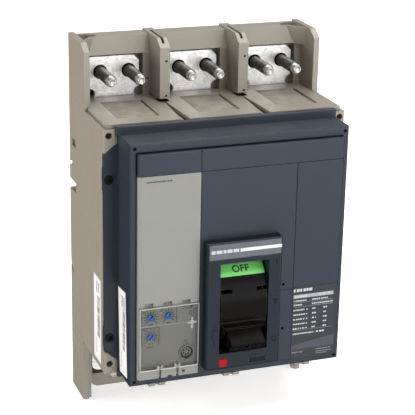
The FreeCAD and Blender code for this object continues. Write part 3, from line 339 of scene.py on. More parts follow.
tinned_copper = plated("brushed_tin_plated_copper", "#f4f2f0", "#d8d5cf", 0.42, cloud=2.6, spread=0.22)
stud_zinc = plated("rolled_zinc_plated_steel", "#74746f", "#464643", 0.34, lines=(0.8, 6.0, 0.8),
                   cloud=4.0, edge=0.1)
bright_tip = plated("turned_bright_steel", "#cfcfcb", "#a9a9a5", 0.34, lines=(2.4, 2.4, 2.4), depth=0.006,
                    cloud=3.0, edge=0.2, spread=0.1)
screw_zinc = plated("bright_zinc_screw", "#9b9a96", "#6d6c68", 0.32, cloud=2.0, edge=0.15)
screw_black = plated("oil_blackened_steel", "#2c2b2a", "#191918", 0.4, cloud=3.0, edge=0.25)
mesh_wire = plated("woven_nickel_steel_wire", "#b3aba0", "#a19990", 0.6, cloud=18.0, edge=0.1)
sheet_steel = plated("rolled_zinc_sheet", "#b9bab8", "#8c8d8b", 0.4)
frame_steel = plated("yellow_passivated_steel", "#c4b98f", "#95906f", 0.38, cloud=12.0)
spring_wire = plated("oiled_spring_wire", "#77756f", "#4c4a45", 0.3, lines=(0.6, 0.6, 3.0), edge=0.1)
silver_pad = plated("sintered_silver", "#dedcd4", "#b2afa5", 0.45, lines=(0.9, 0.9, 0.9))
bare_copper = plated("drawn_bare_copper", "#c98562", "#8e5439", 0.35, lines=(0.6, 0.6, 7.0), cloud=9.0)
print("finishes", len(bpy.data.materials))

# %% [markdown]
# ### Print, labels and the clear lid
# The nameplate is a dark film with pale print.  Printing inks are thin and matt, and break up a
# little, so each ink has a fine mottle.  The lid over the dials is clear polycarbonate: most
# light goes straight through, and the rest is mirrored by its polished faces.

# %% Inks, film, paper and clear polycarbonate
def ink(name, chart, thin, roughness=0.5, metal=0.0):
    """A thin coat of ink or foil whose cover varies over a few tenths of a millimetre."""
    material, tree = blank(name)
    spot = add(tree, "ShaderNodeTexCoord").outputs["Object"]
    mottle = add(tree, "ShaderNodeTexNoise", None, {"Vector": spot, "Scale": fine(0.7), "Detail": 3.0})
    colour = add(tree, "ShaderNodeMix", {"data_type": "RGBA"},
                 {0: mottle.outputs["Fac"], 6: linear(chart), 7: linear(thin)})
    polish = add(tree, "ShaderNodeMapRange", None, {
        "Value": mottle.outputs["Fac"], "To Min": roughness - 0.08, "To Max": roughness + 0.08})
    relief = add(tree, "ShaderNodeBump", None, {"Strength": 0.3, "Distance": 0.01 * MM,
                                                "Height": mottle.outputs["Fac"]})
    close(tree, add(tree, "ShaderNodeBsdfPrincipled", None, {
        "Base Color": colour.outputs[2], "Metallic": metal, "Roughness": polish.outputs["Result"],
        "Specular IOR Level": 0.12, "Normal": relief.outputs["Normal"]}))
    return material


plate_film = moulded("printed_charcoal_film", "#23242b", "#1f2026", "#3d3f47", 0.42, grain=0.9,
                     depth=0.01, edge_wear_and_glint=0.2)
wedge_film = moulded("printed_mid_grey_film", "#3d4047", "#383b42", "#565a62", 0.42, grain=0.9,
                     depth=0.01, edge_wear_and_glint=0.2)
label_paper = moulded("coated_white_label_paper", "#dcdbd9", "#d0cfcd", "#e8e7e5", 0.55, grain=0.9,
                      depth=0.01)
white_ink = ink("screen_printed_white_ink", "#c9cacb", "#a4a5a7")
pale_ink = ink("screen_printed_grey_ink", "#8a8c90", "#6d6f74")
dark_ink = ink("screen_printed_dark_ink", "#33332f", "#484743")
black_ink = ink("screen_printed_black_ink", "#131312", "#1f1f1d")
label_ink = ink("thermal_print_grey", "#454445", "#5f5e5f")
grey_foil = ink("printed_silver_grey_ink", "#a3a4a7", "#939498", 0.42)
silver_foil = ink("hot_stamped_silver_foil", "#e6e4e2", "#cfccc9", 0.34, metal=0.6)
# painted shade: a charcoal darker than the surround, for moulded marks and a shallow recess
marks_painted_shade = moulded("charcoal_marks_painted_shade", "#14161b", "#101216", "#2c3038", 0.5, depth=0.01, edge_wear_and_glint=0.1, shine=0.15)
# painted shadow: a near-black plastic laid where holes and gaps only hold shade
painted_shadow_black = moulded("black_painted_shadow", "#0b0b0b", "#080808", "#1b1b1b", 0.6, edge_wear_and_glint=0.1, shine=0.08)


def clear_polycarbonate(name):
    """Polished clear sheet; its dark base at low alpha darkens all under it, partly as a tint and partly as
    painted shade.
    """
    material, tree = blank(name)
    spot = add(tree, "ShaderNodeTexCoord").outputs["Object"]
    ripple = add(tree, "ShaderNodeTexNoise", None, {"Vector": spot, "Scale": fine(9), "Detail": 2.0})
    haze = add(tree, "ShaderNodeMapRange", None, {
        "Value": ripple.outputs["Fac"], "To Min": 0.04, "To Max": 0.14})
    eased = add(tree, "ShaderNodeBevel", {"samples": 4}, {"Radius": 0.3 * MM})
    relief = add(tree, "ShaderNodeBump", None, {
        "Strength": 0.2, "Distance": 0.02 * MM, "Height": ripple.outputs["Fac"],
        "Normal": eased.outputs["Normal"]})
    close(tree, add(tree, "ShaderNodeBsdfPrincipled", None, {
        "Base Color": linear("#34332f"), "Roughness": haze.outputs["Result"], "IOR": 1.585,
        "Alpha": 0.16, "Normal": relief.outputs["Normal"]}))
    return material


lid_clear = clear_polycarbonate("polished_clear_polycarbonate")
# painted highlight: an opaque pale plastic stands for the light caught along clear edges of the lid, its clips,
# the panel step and the ledge
edge_painted_highlight = moulded("pale_polycarbonate_painted_highlight", "#bfbfb8", "#b0b0a9", "#e9e9e5", 0.3, grain=0.8, depth=0.01)
seal_white = moulded("frosted_white_acetal", "#e0e0dc", "#d3d3ce", "#f2f2ef", 0.32, grain=0.8, depth=0.01)
print("finishes", len(bpy.data.materials))

# %% [markdown]
# ## Dressing the frame
# Every part of the frame keeps its shape and takes its finish through its own material slot.

# %% Give each part its finish
finishes = {
    case_grey: ("rear_case", "rear_cover_upper", "rear_cover_lower", "front_case", "upper_terminal_shroud",
                "lower_terminal_shroud", "cover_clips", "arc_chute_1", "arc_chute_2", "arc_chute_3"),
    cover_charcoal: ("front_cover", "front_fascia"),
    bezel_charcoal: ("handle_bezel",),
    plate_film: ("nameplate",),
    trip_grey: ("trip_unit_housing", "test_connector"),
    lid_clear: ("trip_unit_cover",),
    dial_blue: ("setting_dial_1", "setting_dial_2", "setting_dial_3"),
    screw_zinc: ("trip_unit_screws",),
    screw_black: ("cover_screws", "flange_screws"),
    tinned_copper: ("upper_terminal_1", "upper_terminal_2", "upper_terminal_3", "lower_terminal_1",
                    "lower_terminal_2", "lower_terminal_3"),
    stud_zinc: ("upper_studs", "lower_studs"),
    mesh_wire: ("arc_filters",),
    sheet_steel: ("splitter_plates",),
    frame_steel: ("mechanism_plates", "handle_yoke", "drive_link", "pole_shaft", "trip_bar",
                  "connecting_rods_1", "connecting_rods_2", "connecting_rods_3"),
    spring_wire: ("toggle_springs", "trip_button_spring"),
    silver_pad: ("fixed_contacts",),
    bare_copper: ("contact_fingers_1", "contact_fingers_2", "contact_fingers_3", "flexible_braids"),
    carrier_brown: ("contact_carrier_1", "contact_carrier_2", "contact_carrier_3"),
    resin_black: ("current_transformer_1", "current_transformer_2", "current_transformer_3"),
    handle_black: ("toggle_handle",),
    flag_green: ("off_flag",),
    flag_white: ("on_flag",),
    button_red: ("trip_button",),
    label_paper: ("side_labels",),
}
dressed = set()
for material, names in finishes.items():
    for name in names:
        for holder in frame["nodes"][name].material_slots:
            holder.material = material
        dressed.add(name)
print("without a finish:", sorted(set(frame["nodes"]) - dressed))

# %% [markdown]
# ## Terminal studs
# A busbar is bolted to each plate by two M10 studs.  The thread is what a busbar nut runs on, so
# it is worth real geometry.  One tooth is drawn as three short lines and is spun round the stud
# with a lead, which is how a die cuts it.  The turned-down tip is a plain lathe shape with a
# dished end, and it stays brighter than the rolled thread.

# %% Threads and tips
LEAD = 1.5
STUD_RADIUS = 5.0
TOOTH_DEPTH = 0.42
TIP_LENGTH = 4.0
stud_mounts = [m for m in frame["record"]["mounts"] if "studs" in m["name"]]


def stud_places(row):
    """Centre of each stud of the upper or lower row, and the depth that it starts at."""
    found = []
    for mount in stud_mounts:
        if mount["name"].startswith(row):
            x, y, z = [c / MM for c in mount["pos_m"]]
            reach = mount["dims"]["spacing_x_mm"] / 2
            found += [(x - reach, z, -y), (x + reach, z, -y)]
    return found


def thread(mesh, across, up, start, end, crest):
    """Spin one tooth up the stud, moving on by the lead at every turn."""
    root, steps = crest - TOOTH_DEPTH, 20
    turns = int((end - start) / LEAD)
    tooth = [mesh.verts.new(place(across, start + share * LEAD, up + radius))
             for share, radius in ((0.0, root), (0.32, crest), (0.58, crest), (1.0, root))]
    flanks = [mesh.edges.new(pair) for pair in zip(tooth, tooth[1:])]
    bmesh.ops.spin(mesh, geom=tooth + flanks, cent=place(across, 0, up), axis=(0.0, -1.0, 0.0),
                   dvec=(0.0, -LEAD * MM / steps, 0.0), angle=2 * math.pi * turns, steps=steps * turns)
    bmesh.ops.remove_doubles(mesh, verts=mesh.verts, dist=0.01 * MM)


def stud_tip(mesh, across, up, end, crest):
    """Dished end of a stud, with a groove where the thread runs out."""
    neck = crest - 1.4
    lathe(mesh, across, up, [(end - 6.5, 0), (end - 6.5, crest - 0.5), (end - 5.0, crest - 0.5),
                             (end - TIP_LENGTH, crest - 0.9), (end - TIP_LENGTH, neck), (end - 1.0, neck),
                             (end - 0.3, neck - 0.6), (end - 0.3, neck - 1.1), (end - 0.8, neck - 2.0),
                             (end - 0.9, 0)])


for row in ("upper", "lower"):
    node = row + "_studs"
    tip = part(node).front
    threads, tips, shadow_rings = bmesh.new(), bmesh.new(), bmesh.new()
    for across, up, start in stud_places(row):
        thread(threads, across, up, start, tip - 5.5, STUD_RADIUS)
        stud_tip(tips, across, up, tip, STUD_RADIUS)
        # painted shadow: a black ring round the foot of each stud stands for the shade in the hole around it
        ring(shadow_rings, across, up, 6.2, 4.6, start, 0.05)
    rolled = piece(row + "_stud_threads", threads, stud_zinc, "breaker")
    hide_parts(node)
    piece(row + "_stud_tips", tips, bright_tip, "breaker")
    piece(row + "_stud_shadow_rings", shadow_rings, painted_shadow_black, "breaker")

# %% [markdown]
# The foot of each upper plate is milled a little lower across its whole width, and two faint
# shoulders show where the cutter stopped.  They are thin eased strips laid on the bar.

# %% Milled shoulders on the terminal plates
half_plate = 16.6
shoulders = bmesh.new()
for number in (1, 2, 3):
    bar_part = part("upper_terminal_%d" % number)
    face = stud_places("upper")[0][2]
    across = (bar_part.middle - half_plate, bar_part.middle + half_plate)
    slab(shoulders, across, (face - 0.1, face + 0.35), (109.0, 114.6), 0.15)
    slab(shoulders, across, (face - 0.1, face + 0.2), (114.6, 116.4), 0.08)
piece("plate_shoulders", shoulders, tinned_copper, "breaker")

# %% [markdown]
# ## Filter cloth over the arc chutes
# Hot gas leaves each chute through a pack of woven wire.  Its top layer is a plain weave: every
# wire goes over one and under the next.  A wire is drawn out from a small square ring, one
# crossing at a time, rising and falling, and the warp and the weft rise at opposite crossings.
# A real cloth is taken to be about 0.8 mm from wire to wire, and it is drawn 1.5 mm so that the
# weave shows at the size of a picture.

# %% Woven wire
WEAVE = 1.5
WIRE = 0.3
RISE = 0.22


def woven_wire(mesh, start, step, rise, crossings, first):
    """Draw one wire from a point, step by step, over (+1) and under (-1) in turn."""
    lie = Vector((0, 0, 1)).rotation_difference(step.normalized()).to_matrix().to_4x4()
    made = bmesh.ops.create_circle(mesh, segments=4, radius=WIRE * MM,
                                   matrix=Matrix.Translation(start + rise * first) @ lie)
    edges = list({e for v in made["verts"] for e in v.link_edges})
    side = -first
    for _ in range(crossings - 1):
        grown = bmesh.ops.extrude_edge_only(mesh, edges=edges)["geom"]
        corners = only_points(grown)
        edges = [item for item in grown if isinstance(item, bmesh.types.BMEdge)
                 and all(v in corners for v in item.verts)]
        bmesh.ops.translate(mesh, verts=corners, vec=step + 2 * side * rise)
        side = -side


def lay_side_by_side(cloth, start, along, across, crossings, wires, first):
    """Draw two neighbouring wires once and copy them over the width of the cloth."""
    pair = bmesh.new()
    woven_wire(pair, start, along, place(0, 0, RISE), crossings, first)
    woven_wire(pair, start + across, along, place(0, 0, RISE), crossings, -first)
    drawn = everything(pair)
    for count in range(1, wires // 2):
        copied = bmesh.ops.duplicate(pair, geom=drawn)["geom"]
        bmesh.ops.translate(pair, verts=only_points(copied), vec=2 * count * across)
    sheet = bpy.data.meshes.new("wires")
    pair.to_mesh(sheet)
    pair.free()
    cloth.from_mesh(sheet)
    bpy.data.meshes.remove(sheet)


cloth = bmesh.new()
half_across, near, far = 17.6, 38.6, 87.8
lift = part("arc_filters").top + 0.5
warp, weft = int(2 * half_across / WEAVE) + 1, int((far - near) / WEAVE) + 1
for number in (1, 2, 3):
    corner = place(part("upper_terminal_%d" % number).middle - half_across, near, lift)
    lay_side_by_side(cloth, corner, place(0, WEAVE, 0), place(WEAVE, 0, 0), weft, warp, -1)
    lay_side_by_side(cloth, corner, place(WEAVE, 0, 0), place(0, WEAVE, 0), warp, weft, 1)
piece("filter_cloth", cloth, mesh_wire, "breaker")

# %% [markdown]
# ## The handle surround
# A strip of glossy film is stuck along the top of the surround, with a foil stripe on its right.
# The film's pale grey is partly painted sheen, standing for the reflection on its gloss.
# The marks below it are moulded in: a switch sign on the left, and on the right a bar for on, an
# arrowhead for tripped and a ring for off.  They stand 0.15 mm proud, which is enough for the
# light to catch, and they are drawn darker than the surround as painted shade.

# %% Film strip, foil stripe and moulded marks
face = bezel.front
film_low, film_high = bezel.top - 14.2, bezel.top - 1.5
stripe_low, stripe_high = bezel.top - 8.9, bezel.top - 6.1
mark_proud = 0.12
# the film's pale grey is partly its own colour and partly painted sheen
film_painted_sheen = moulded("glossy_charcoal_film_painted_sheen", "#5b5e65", "#53565d", "#9498a0", 0.24, grain=1.5,
                     depth=0.006, edge_wear_and_glint=0.5)
strip = bmesh.new()
slab(strip, (bezel.left + 1.4, bezel.right - 1.4), (face - 0.2, face + 0.1), (film_low, film_high), 0.08)
piece("surround_film", strip, film_painted_sheen, "breaker")

foil = bmesh.new()
slab(foil, (bezel.middle - 4.6, bezel.right - 0.9), (face, face + 0.16), (stripe_low, stripe_high), 0.06)
piece("foil_stripe", foil, silver_foil, "breaker")

blocks = bmesh.new()
edge_of_block = bezel.left + 3.0
for width in (3.4, 5.2, 2.6, 4.4, 5.0):
    slab(blocks, (edge_of_block, edge_of_block + width), (face + 0.05, face + 0.15),
         (stripe_low, stripe_high), 0.04)
    edge_of_block += width + 0.8
piece("plain_blocks", blocks, white_ink, "breaker")

marks = bmesh.new()
sign = bezel.left + 6.7
for start, end in (((sign, -49.6), (sign, -55.8)), ((sign - 2.3, -55.8), (sign + 2.7, -55.8)),
                   ((sign, -58.4), (sign - 2.6, -61.4)), ((sign - 2.6, -61.4), (sign, -64.6)),
                   ((sign, -64.2), (sign, -69.6))):
    bar(marks, start, end, 0.55, face, mark_proud)
on_off = bezel.right - 4.9
bar(marks, (on_off, 2.2), (on_off, -2.6), 0.7, face, mark_proud)
ring(marks, on_off, -69.7, 2.5, 1.8, face, mark_proud)
tip_up = Matrix.Translation(place(on_off, face - 0.1, -35.2)) @ Matrix.Rotation(math.pi / 2, 4, "X")
arrow = bmesh.ops.create_circle(marks, cap_ends=True, segments=3, radius=3.2 * MM,
                                matrix=tip_up @ Matrix.Rotation(math.pi, 4, "Z"))
arrow_face = list({f for v in arrow["verts"] for f in v.link_faces})
raised = bmesh.ops.extrude_face_region(marks, geom=arrow_face)["geom"]
bmesh.ops.translate(marks, verts=only_points(raised), vec=place(0, 0.22, 0))
piece("surround_marks", marks, marks_painted_shade, "breaker")

# a shallow recess, drawn in the darker charcoal as painted shade
blank_window = bmesh.new()
slab(blank_window, (6.3, 20.5), (face - 0.7, face - 0.35), (-88.7, -84.9), 0.15)
piece("blank_window", blank_window, marks_painted_shade, "breaker")

# %% [markdown]
# ## The words on the flags
# The handle's barrel carries a green flag for off and a white one for on.  Each word starts as
# flat text, is made a mesh, is cut into short bands so that it can bend, and is then wrapped
# round the barrel's axis.

# %% Wrap a word on the barrel
swing = next(j for j in frame["joints"] if j["name"] == "toggle_swing")
hinge = Vector(swing["pos_m"])


def word(text, height, thickness, weight=0.0):
    """Flat text as a bmesh, centred, standing up the Y axis, at a height in millimetres."""
    curve = bpy.data.curves.new("word", "FONT")
    curve.body = text
    curve.align_x = "CENTER"
    curve.resolution_u = 3
    curve.offset = weight
    holder = bpy.data.objects.new("word", curve)
    bpy.context.scene.collection.objects.link(holder)
    flat = bpy.data.meshes.new_from_object(holder)
    mesh = bmesh.new()
    mesh.from_mesh(flat)
    bpy.data.objects.remove(holder)
    bpy.data.curves.remove(curve)
    bpy.data.meshes.remove(flat)
    low = min(v.co.y for v in mesh.verts)
    high = max(v.co.y for v in mesh.verts)
    size = height * MM / (high - low)
    bmesh.ops.translate(mesh, verts=mesh.verts, vec=(0, -(low + high) / 2, 0))
    bmesh.ops.scale(mesh, verts=mesh.verts, vec=(size, size, size))
    top = bmesh.ops.extrude_face_region(mesh, geom=mesh.faces[:])["geom"]
    bmesh.ops.translate(mesh, verts=only_points(top), vec=(0, 0, thickness * MM))
    return mesh


def flag_word(name, text, node, height, lift):
    """Lay a word on a flag of the barrel, lift degrees above the flag's middle."""
    around = [v.co - hinge for v in frame["nodes"][node].data.vertices]
    radius = max(math.hypot(p.y, p.z) for p in around)
    turns = [math.atan2(p.z, -p.y) for p in around]
    centre = (min(turns) + max(turns)) / 2 + math.radians(lift)
    mesh = word(text, height, 0.08, 0.022)
    for share in range(-4, 5):
        bmesh.ops.bisect_plane(mesh, geom=everything(mesh), plane_co=(0, share * height * MM / 10, 0),
                               plane_no=(0, 1, 0))
    for v in mesh.verts:
        turn = centre + v.co.y / radius
        reach = radius + v.co.z - 0.03 * MM
        v.co = Vector((v.co.x, hinge.y - reach * math.cos(turn), hinge.z + reach * math.sin(turn)))
    return piece(name, mesh, dark_ink, "toggle")


flag_word("off_word", "OFF", "off_flag", 6.4, -4.6)
flag_word("on_word", "ON", "on_flag", 5.4, 4.0)

# %% [markdown]
# ## The trip unit's setting panel
# Each dial turns against a scale of ticks with a number at every tick.  Thin lines box the dials
# in, and short bars stand where the real panel has words, because words would only be copied.
# Everything is printed on the floor of the recess, behind the clear lid.

# %% Scales, boxes and bars
def greeked(mesh, left, right, up, height, face, seed, gap=0.35):
    """A row of short bars of uneven width that stands for a line of print."""
    chance = random.Random(seed)
    at = left
    while at < right - 0.5:
        width = min(chance.uniform(0.6, 1.5) * height, right - at)
        bar(mesh, (at, up), (at + width, up), height, face, 0.03)
        at += width + gap * height * (2.2 if chance.random() < 0.22 else 1.0)


dials = [part("setting_dial_%d" % number) for number in (1, 2, 3)]
floor_face = trip_unit.front - 3.0
first_tick, tick_apart, ticks = -135, 27, 11
tick_from, tick_to, figure_at = 3.6, 5.8, 6.9
prints = bmesh.new()
for number, dial in enumerate(dials):
    for step in range(ticks):
        turn = math.radians(first_tick + tick_apart * step)
        way = (math.sin(turn), math.cos(turn))
        bar(prints, (dial.middle + tick_from * way[0], dial.level + tick_from * way[1]),
            (dial.middle + tick_to * way[0], dial.level + tick_to * way[1]), 0.65, floor_face)
        figure = word(str(step), 1.15, 0.05, 0.02)
        shift = place(dial.middle + figure_at * way[0], floor_face, dial.level + (figure_at - 0.2) * way[1])
        figure.transform(Matrix.Translation(shift) @ Matrix.Rotation(math.pi / 2, 4, "X"))
        flat = bpy.data.meshes.new("figure")
        figure.to_mesh(flat)
        figure.free()
        prints.from_mesh(flat)
        bpy.data.meshes.remove(flat)
    ring(prints, dial.middle, dial.level, 3.45, 3.2, floor_face, 0.03)
    greeked(prints, dial.middle - 1.9, dial.middle + 1.9, dial.level - 6.0, 0.9, floor_face, number)
left, right = trip_unit.left + 3.5, trip_unit.left + 33.8
upper_box, lower_box, lower_right = -34.8, -51.8, left + 15.2
for start, end in (((left, upper_box), (right, upper_box)), ((left, upper_box), (left, -49.4)),
                   ((right, upper_box), (right, -49.4)),
                   ((left, lower_box), (lower_right, lower_box)), ((left, lower_box), (left, -66.4)),
                   ((lower_right, lower_box), (lower_right, -67.4))):
    bar(prints, start, end, 0.45, floor_face)
greeked(prints, left + 5.5, left + 12, -34.0, 0.8, floor_face, 11)
greeked(prints, left + 1.4, left + 4.0, -37.4, 0.8, floor_face, 12)
greeked(prints, left + 16.2, left + 18.4, -37.4, 0.8, floor_face, 13)
greeked(prints, left + 1.6, left + 5.4, -53.6, 0.9, floor_face, 14)
greeked(prints, left + 4.8, left + 10.4, -69.0, 0.9, floor_face, 15)
greeked(prints, trip_unit.right - 13.4, trip_unit.right - 9.0, -35.8, 0.9, floor_face, 16)
bar(prints, (trip_unit.right - 13.4, -38.0), (trip_unit.right - 4.9, -38.0), 0.25, floor_face)
slab(prints, (trip_unit.right - 6.4, trip_unit.right - 4.4), (floor_face, floor_face + 0.05), (-37.2, -35.6))
piece("panel_print", prints, black_ink, "breaker")

# a screwdriver slot runs right across each dial, drawn as a black bar of painted shadow, and one end of it is
# filled in as the pointer
for number, dial in enumerate(dials, 1):
    slot_shade_and_pointer = bmesh.new()
    for low_end, high_end, width in (((-1.5, -1.7), (1.4, 1.6), 0.8), ((0.3, 0.3), (1.5, 1.75), 1.3)):
        bar(slot_shade_and_pointer, (dial.middle + low_end[0], dial.level + low_end[1]),
            (dial.middle + high_end[0], dial.level + high_end[1]), width, dial.front, 0.05)
    piece("dial_pointer_%d" % number, slot_shade_and_pointer, black_ink, "dial_%d" % number)

# the test socket: its well, pin holes and the key at its foot are painted shadow, black rings and a block round
# the paler insert
socket = part("test_connector")
socket_shade = bmesh.new()
ring(socket_shade, socket.middle, socket.level, 5.55, 3.95, socket.front - 1.6, 0.1)
for across, up in ((-2.1, 1.5), (0.3, 2.4), (-2.4, -0.9), (2.2, 0.9), (1.6, -1.7), (-0.4, -2.6)):
    ring(socket_shade, socket.middle + across, socket.level + up, 0.85, 0.05, socket.front - 1.4, 0.08, 12)
slab(socket_shade, (socket.middle - 1.1, socket.middle + 1.1), (socket.front - 1.5, socket.front - 0.5),
     (socket.level - 6.1, socket.level - 4.3), 0.1)
piece("socket_hole_shade", socket_shade, painted_shadow_black, "breaker")

# painted highlight: a pale line along the step across the panel floor
step_highlight = bmesh.new()
bar(step_highlight, (left - 0.3, -50.4), (trip_unit.right - 2.6, -50.4), 0.45, floor_face, 0.04)
piece("panel_step_highlight", step_highlight, edge_painted_highlight, "breaker")

heading = bmesh.new()
greeked(heading, trip_unit.left + 6.7, trip_unit.left + 28.2, trip_unit.top - 4.6, 1.3, trip_unit.front, 21)
piece("unit_heading", heading, dark_ink, "breaker")

# %% [markdown]
# The lid hooks over two small sprung clips at its lower edge, and a seal can be passed through a
# cross-shaped stud beside the upper screw.  Both are clear mouldings.  The clips, the lid's rim and
# the ledge below are drawn in an opaque pale plastic as a painted highlight of the light that their
# clear edges catch, and with the frosted seal stud they are the brightest spots on the panel.

# %% Clips, seal stud and lid rim
lid = part("trip_unit_cover")
# painted highlight along the edges of the clear lid
lip = bmesh.new()
lip_depth = (lid.front - 1.2, lid.front - 0.15)
lip_top = -33.0
slab(lip, (lid.left, lid.right), lip_depth, (lid.bottom - 0.1, lid.bottom + 0.5), 0.15)
slab(lip, (lid.left, lid.left + 0.45), lip_depth, (lid.bottom, lip_top), 0.12)
slab(lip, (lid.right - 0.45, lid.right), lip_depth, (lid.bottom, lip_top), 0.12)
slab(lip, (lid.left, lid.right), lip_depth, (-33.1, -32.6), 0.12)
piece("lid_rim_highlight", lip, edge_painted_highlight, "trip_unit_cover")

clips = bmesh.new()
for slot in (trip_unit.left + 18.9, trip_unit.left + 34.0):
    for side in (-1, 1):
        slab(clips, (slot + side * 1.9 - 0.75, slot + side * 1.9 + 0.75),
             (floor_face - 0.2, trip_unit.front - 0.1), (-88.9, -85.2), 0.35)
    slab(clips, (slot - 2.4, slot + 2.4), (trip_unit.front - 1.4, trip_unit.front - 0.4), (-87.6, -86.6), 0.3)
piece("lid_clips", clips, edge_painted_highlight, "breaker")

seal = bmesh.new()
seal_across, seal_up = trip_unit.right - 5.1, -51.0
for across, up in ((-2.9, 0.4), (2.9, 0.4), (0, 3.2), (0, -3.4)):
    wide, tall = (1.5, 0.9) if across else (0.95, 1.6)
    slab(seal, (seal_across + across - wide, seal_across + across + wide),
         (floor_face - 0.1, floor_face + 1.3), (seal_up + up - tall, seal_up + up + tall), 0.4)
hub = [(floor_face + depth, radius) for depth, radius in
       ((-0.2, 0), (-0.2, 1.9), (0.6, 1.9), (0.9, 1.5), (0.4, 0.8), (0.3, 0))]
lathe(seal, seal_across, seal_up + 0.4, hub)
piece("seal_stud", seal, seal_white, "breaker")

# painted highlight: pale strips along the ledge under the panel, where its top edge catches the light
ledge_highlight = bmesh.new()
for start, end in ((trip_unit.left + 1.6, trip_unit.left + 16.9),
                   (trip_unit.left + 20.9, trip_unit.left + 32.0),
                   (trip_unit.left + 36.0, trip_unit.right - 0.3)):
    slab(ledge_highlight, (start, end), (trip_unit.front - 1.6, trip_unit.front + 0.05), (-89.6, -88.2), 0.6)
piece("lower_ledge_highlight", ledge_highlight, edge_painted_highlight, "breaker")
tab_mark = bmesh.new()
bar(tab_mark, (trip_unit.right - 14.0, -92.6), (trip_unit.right - 11.4, -92.6), 2.4, trip_unit.front, 0.03)
piece("tab_mark", tab_mark, dark_ink, "breaker")

# %% [markdown]
# ## The nameplate
# A rating plate is a table: a title, a silver bar, two heading lines and rows of figures.  The
# layout is kept and every word and figure is a plain bar.  A lighter wedge rises to the right
# over the bottom band.

# %% Nameplate print
face = plate.front
pale = bmesh.new()
greeked(pale, plate.left + 0.8, plate.left + 17.6, -33.5, 2.6, face, 31, 0.2)
greeked(pale, plate.left + 1.2, plate.left + 13.0, -43.0, 1.2, face, 32)
greeked(pale, plate.left + 17.9, plate.left + 32.4, -43.0, 1.2, face, 33)
greeked(pale, plate.left + 1.2, plate.left + 9.3, -46.7, 1.2, face, 34)
greeked(pale, plate.left + 17.9, plate.left + 37.2, -46.7, 1.2, face, 35)
for row in range(5):
    up = -51.4 - 4.25 * row
    greeked(pale, plate.left + 1.2, plate.left + 11.8, up, 1.3, face, 40 + row)
    greeked(pale, plate.left + 12.9, plate.left + 14.2, up, 1.1, face, 50 + row)
    greeked(pale, plate.left + 18.4, plate.left + 22.0, up, 1.3, face, 60 + row)
    greeked(pale, plate.left + 28.7, plate.left + 32.0, up, 1.3, face, 70 + row)
greeked(pale, plate.left + 1.4, plate.left + 20.4, -73.2, 1.2, face, 36)
greeked(pale, plate.left + 22.8, plate.left + 30.0, -73.2, 1.5, face, 37)
piece("plate_rows", pale, white_ink, "breaker")

rules = bmesh.new()
for up, start in ((-44.5, 1.0), (-48.3, 17.9), (-48.6, 1.0), (-70.1, 1.0)):
    bar(rules, (plate.left + start, up), (plate.left + 37.0, up), 0.3, face, 0.03)
greeked(rules, plate.left + 1.4, plate.left + 11.3, -90.4, 1.1, face, 81)
greeked(rules, plate.left + 23.4, plate.left + 37.5, -89.6, 0.9, face, 82)
greeked(rules, plate.left + 23.4, plate.left + 37.5, -91.8, 0.8, face, 83)
greeked(rules, plate.left + 23.4, plate.left + 33.5, -93.6, 0.8, face, 84)
piece("plate_rules", rules, pale_ink, "breaker")

caption = bmesh.new()
greeked(caption, plate.left + 1.8, plate.left + 14.0, -39.0, 1.5, face + 0.06, 85)
greeked(caption, plate.left + 24.0, plate.left + 34.5, -38.8, 1.5, face + 0.06, 86)
piece("bar_caption", caption, white_ink, "breaker")

silver = bmesh.new()
slab(silver, (plate.left + 0.8, plate.left + 37.2), (face, face + 0.08), (-40.6, -37.4))
piece("plate_bar", silver, grey_foil, "breaker")

wedge = bmesh.new()
corners = [wedge.verts.new(place(plate.left + across, face + 0.04, up))
           for across, up in ((0.3, -87.6), (39.6, -87.6), (39.6, -77.7), (22.0, -80.2), (0.3, -84.0))]
wedge.faces.new(corners)
sunk = bmesh.ops.extrude_face_region(wedge, geom=wedge.faces[:])["geom"]
bmesh.ops.translate(wedge, verts=only_points(sunk), vec=place(0, -0.1, 0))
slab(wedge, (plate.left + 0.3, plate.left + 39.6), (face - 0.05, face + 0.05), (-88.6, -88.1))
piece("plate_wedge", wedge, wedge_film, "breaker")

# %% [markdown]
# ## Side labels
# Two printed labels on the left side carry a bar pattern and some print.  The pattern here is
# random, so it encodes nothing.

# %% Bars on the side labels
def label_print(mesh, wall, corners, seed):
    """Print across a label on a wall that faces left; corners give its depths and heights."""
    back_edge, front_edge, low, high = corners
    chance = random.Random(seed)
    span = front_edge - back_edge
    skin = (wall - 0.006, wall + 0.05)
    at = high - 0.22 * (high - low)
    while at > low + 0.3 * (high - low):
        thick = chance.choice((0.6, 0.9, 1.3, 1.8))
        slab(mesh, skin, (back_edge + 0.52 * span, back_edge + 0.86 * span), (at - thick, at))
        at -= thick + chance.choice((0.5, 0.7, 1.0))
    for share in (0.62, 0.36):
        at = high - 0.06 * (high - low)
        for _ in range(5):
            thick = chance.uniform(1.0, 1.8)
            slab(mesh, skin, (back_edge + share * span, back_edge + (share + 0.16) * span), (at - thick, at))
            at -= thick + 0.7
    at = low + 0.24 * (high - low)
    while at > low + 0.06 * (high - low):
        thick = chance.uniform(0.7, 1.4)
        slab(mesh, skin, (back_edge + 0.3 * span, back_edge + 0.36 * span), (at - thick, at))
        at -= thick + 0.5


label_points = [v.co for v in frame["nodes"]["side_labels"].data.vertices]
outer = sides([p for p in label_points if p.x / MM < case.left + 1])
inner = sides([p for p in label_points if p.x / MM > case.left + 1])
bars = bmesh.new()
label_print(bars, outer.left, (outer.back, outer.front, outer.bottom, outer.top), 5)
label_print(bars, inner.left, (inner.back + 2.6, inner.front - 2.6, inner.bottom + 1.5, inner.top - 1.5), 6)
piece("label_bars", bars, label_ink, "breaker")

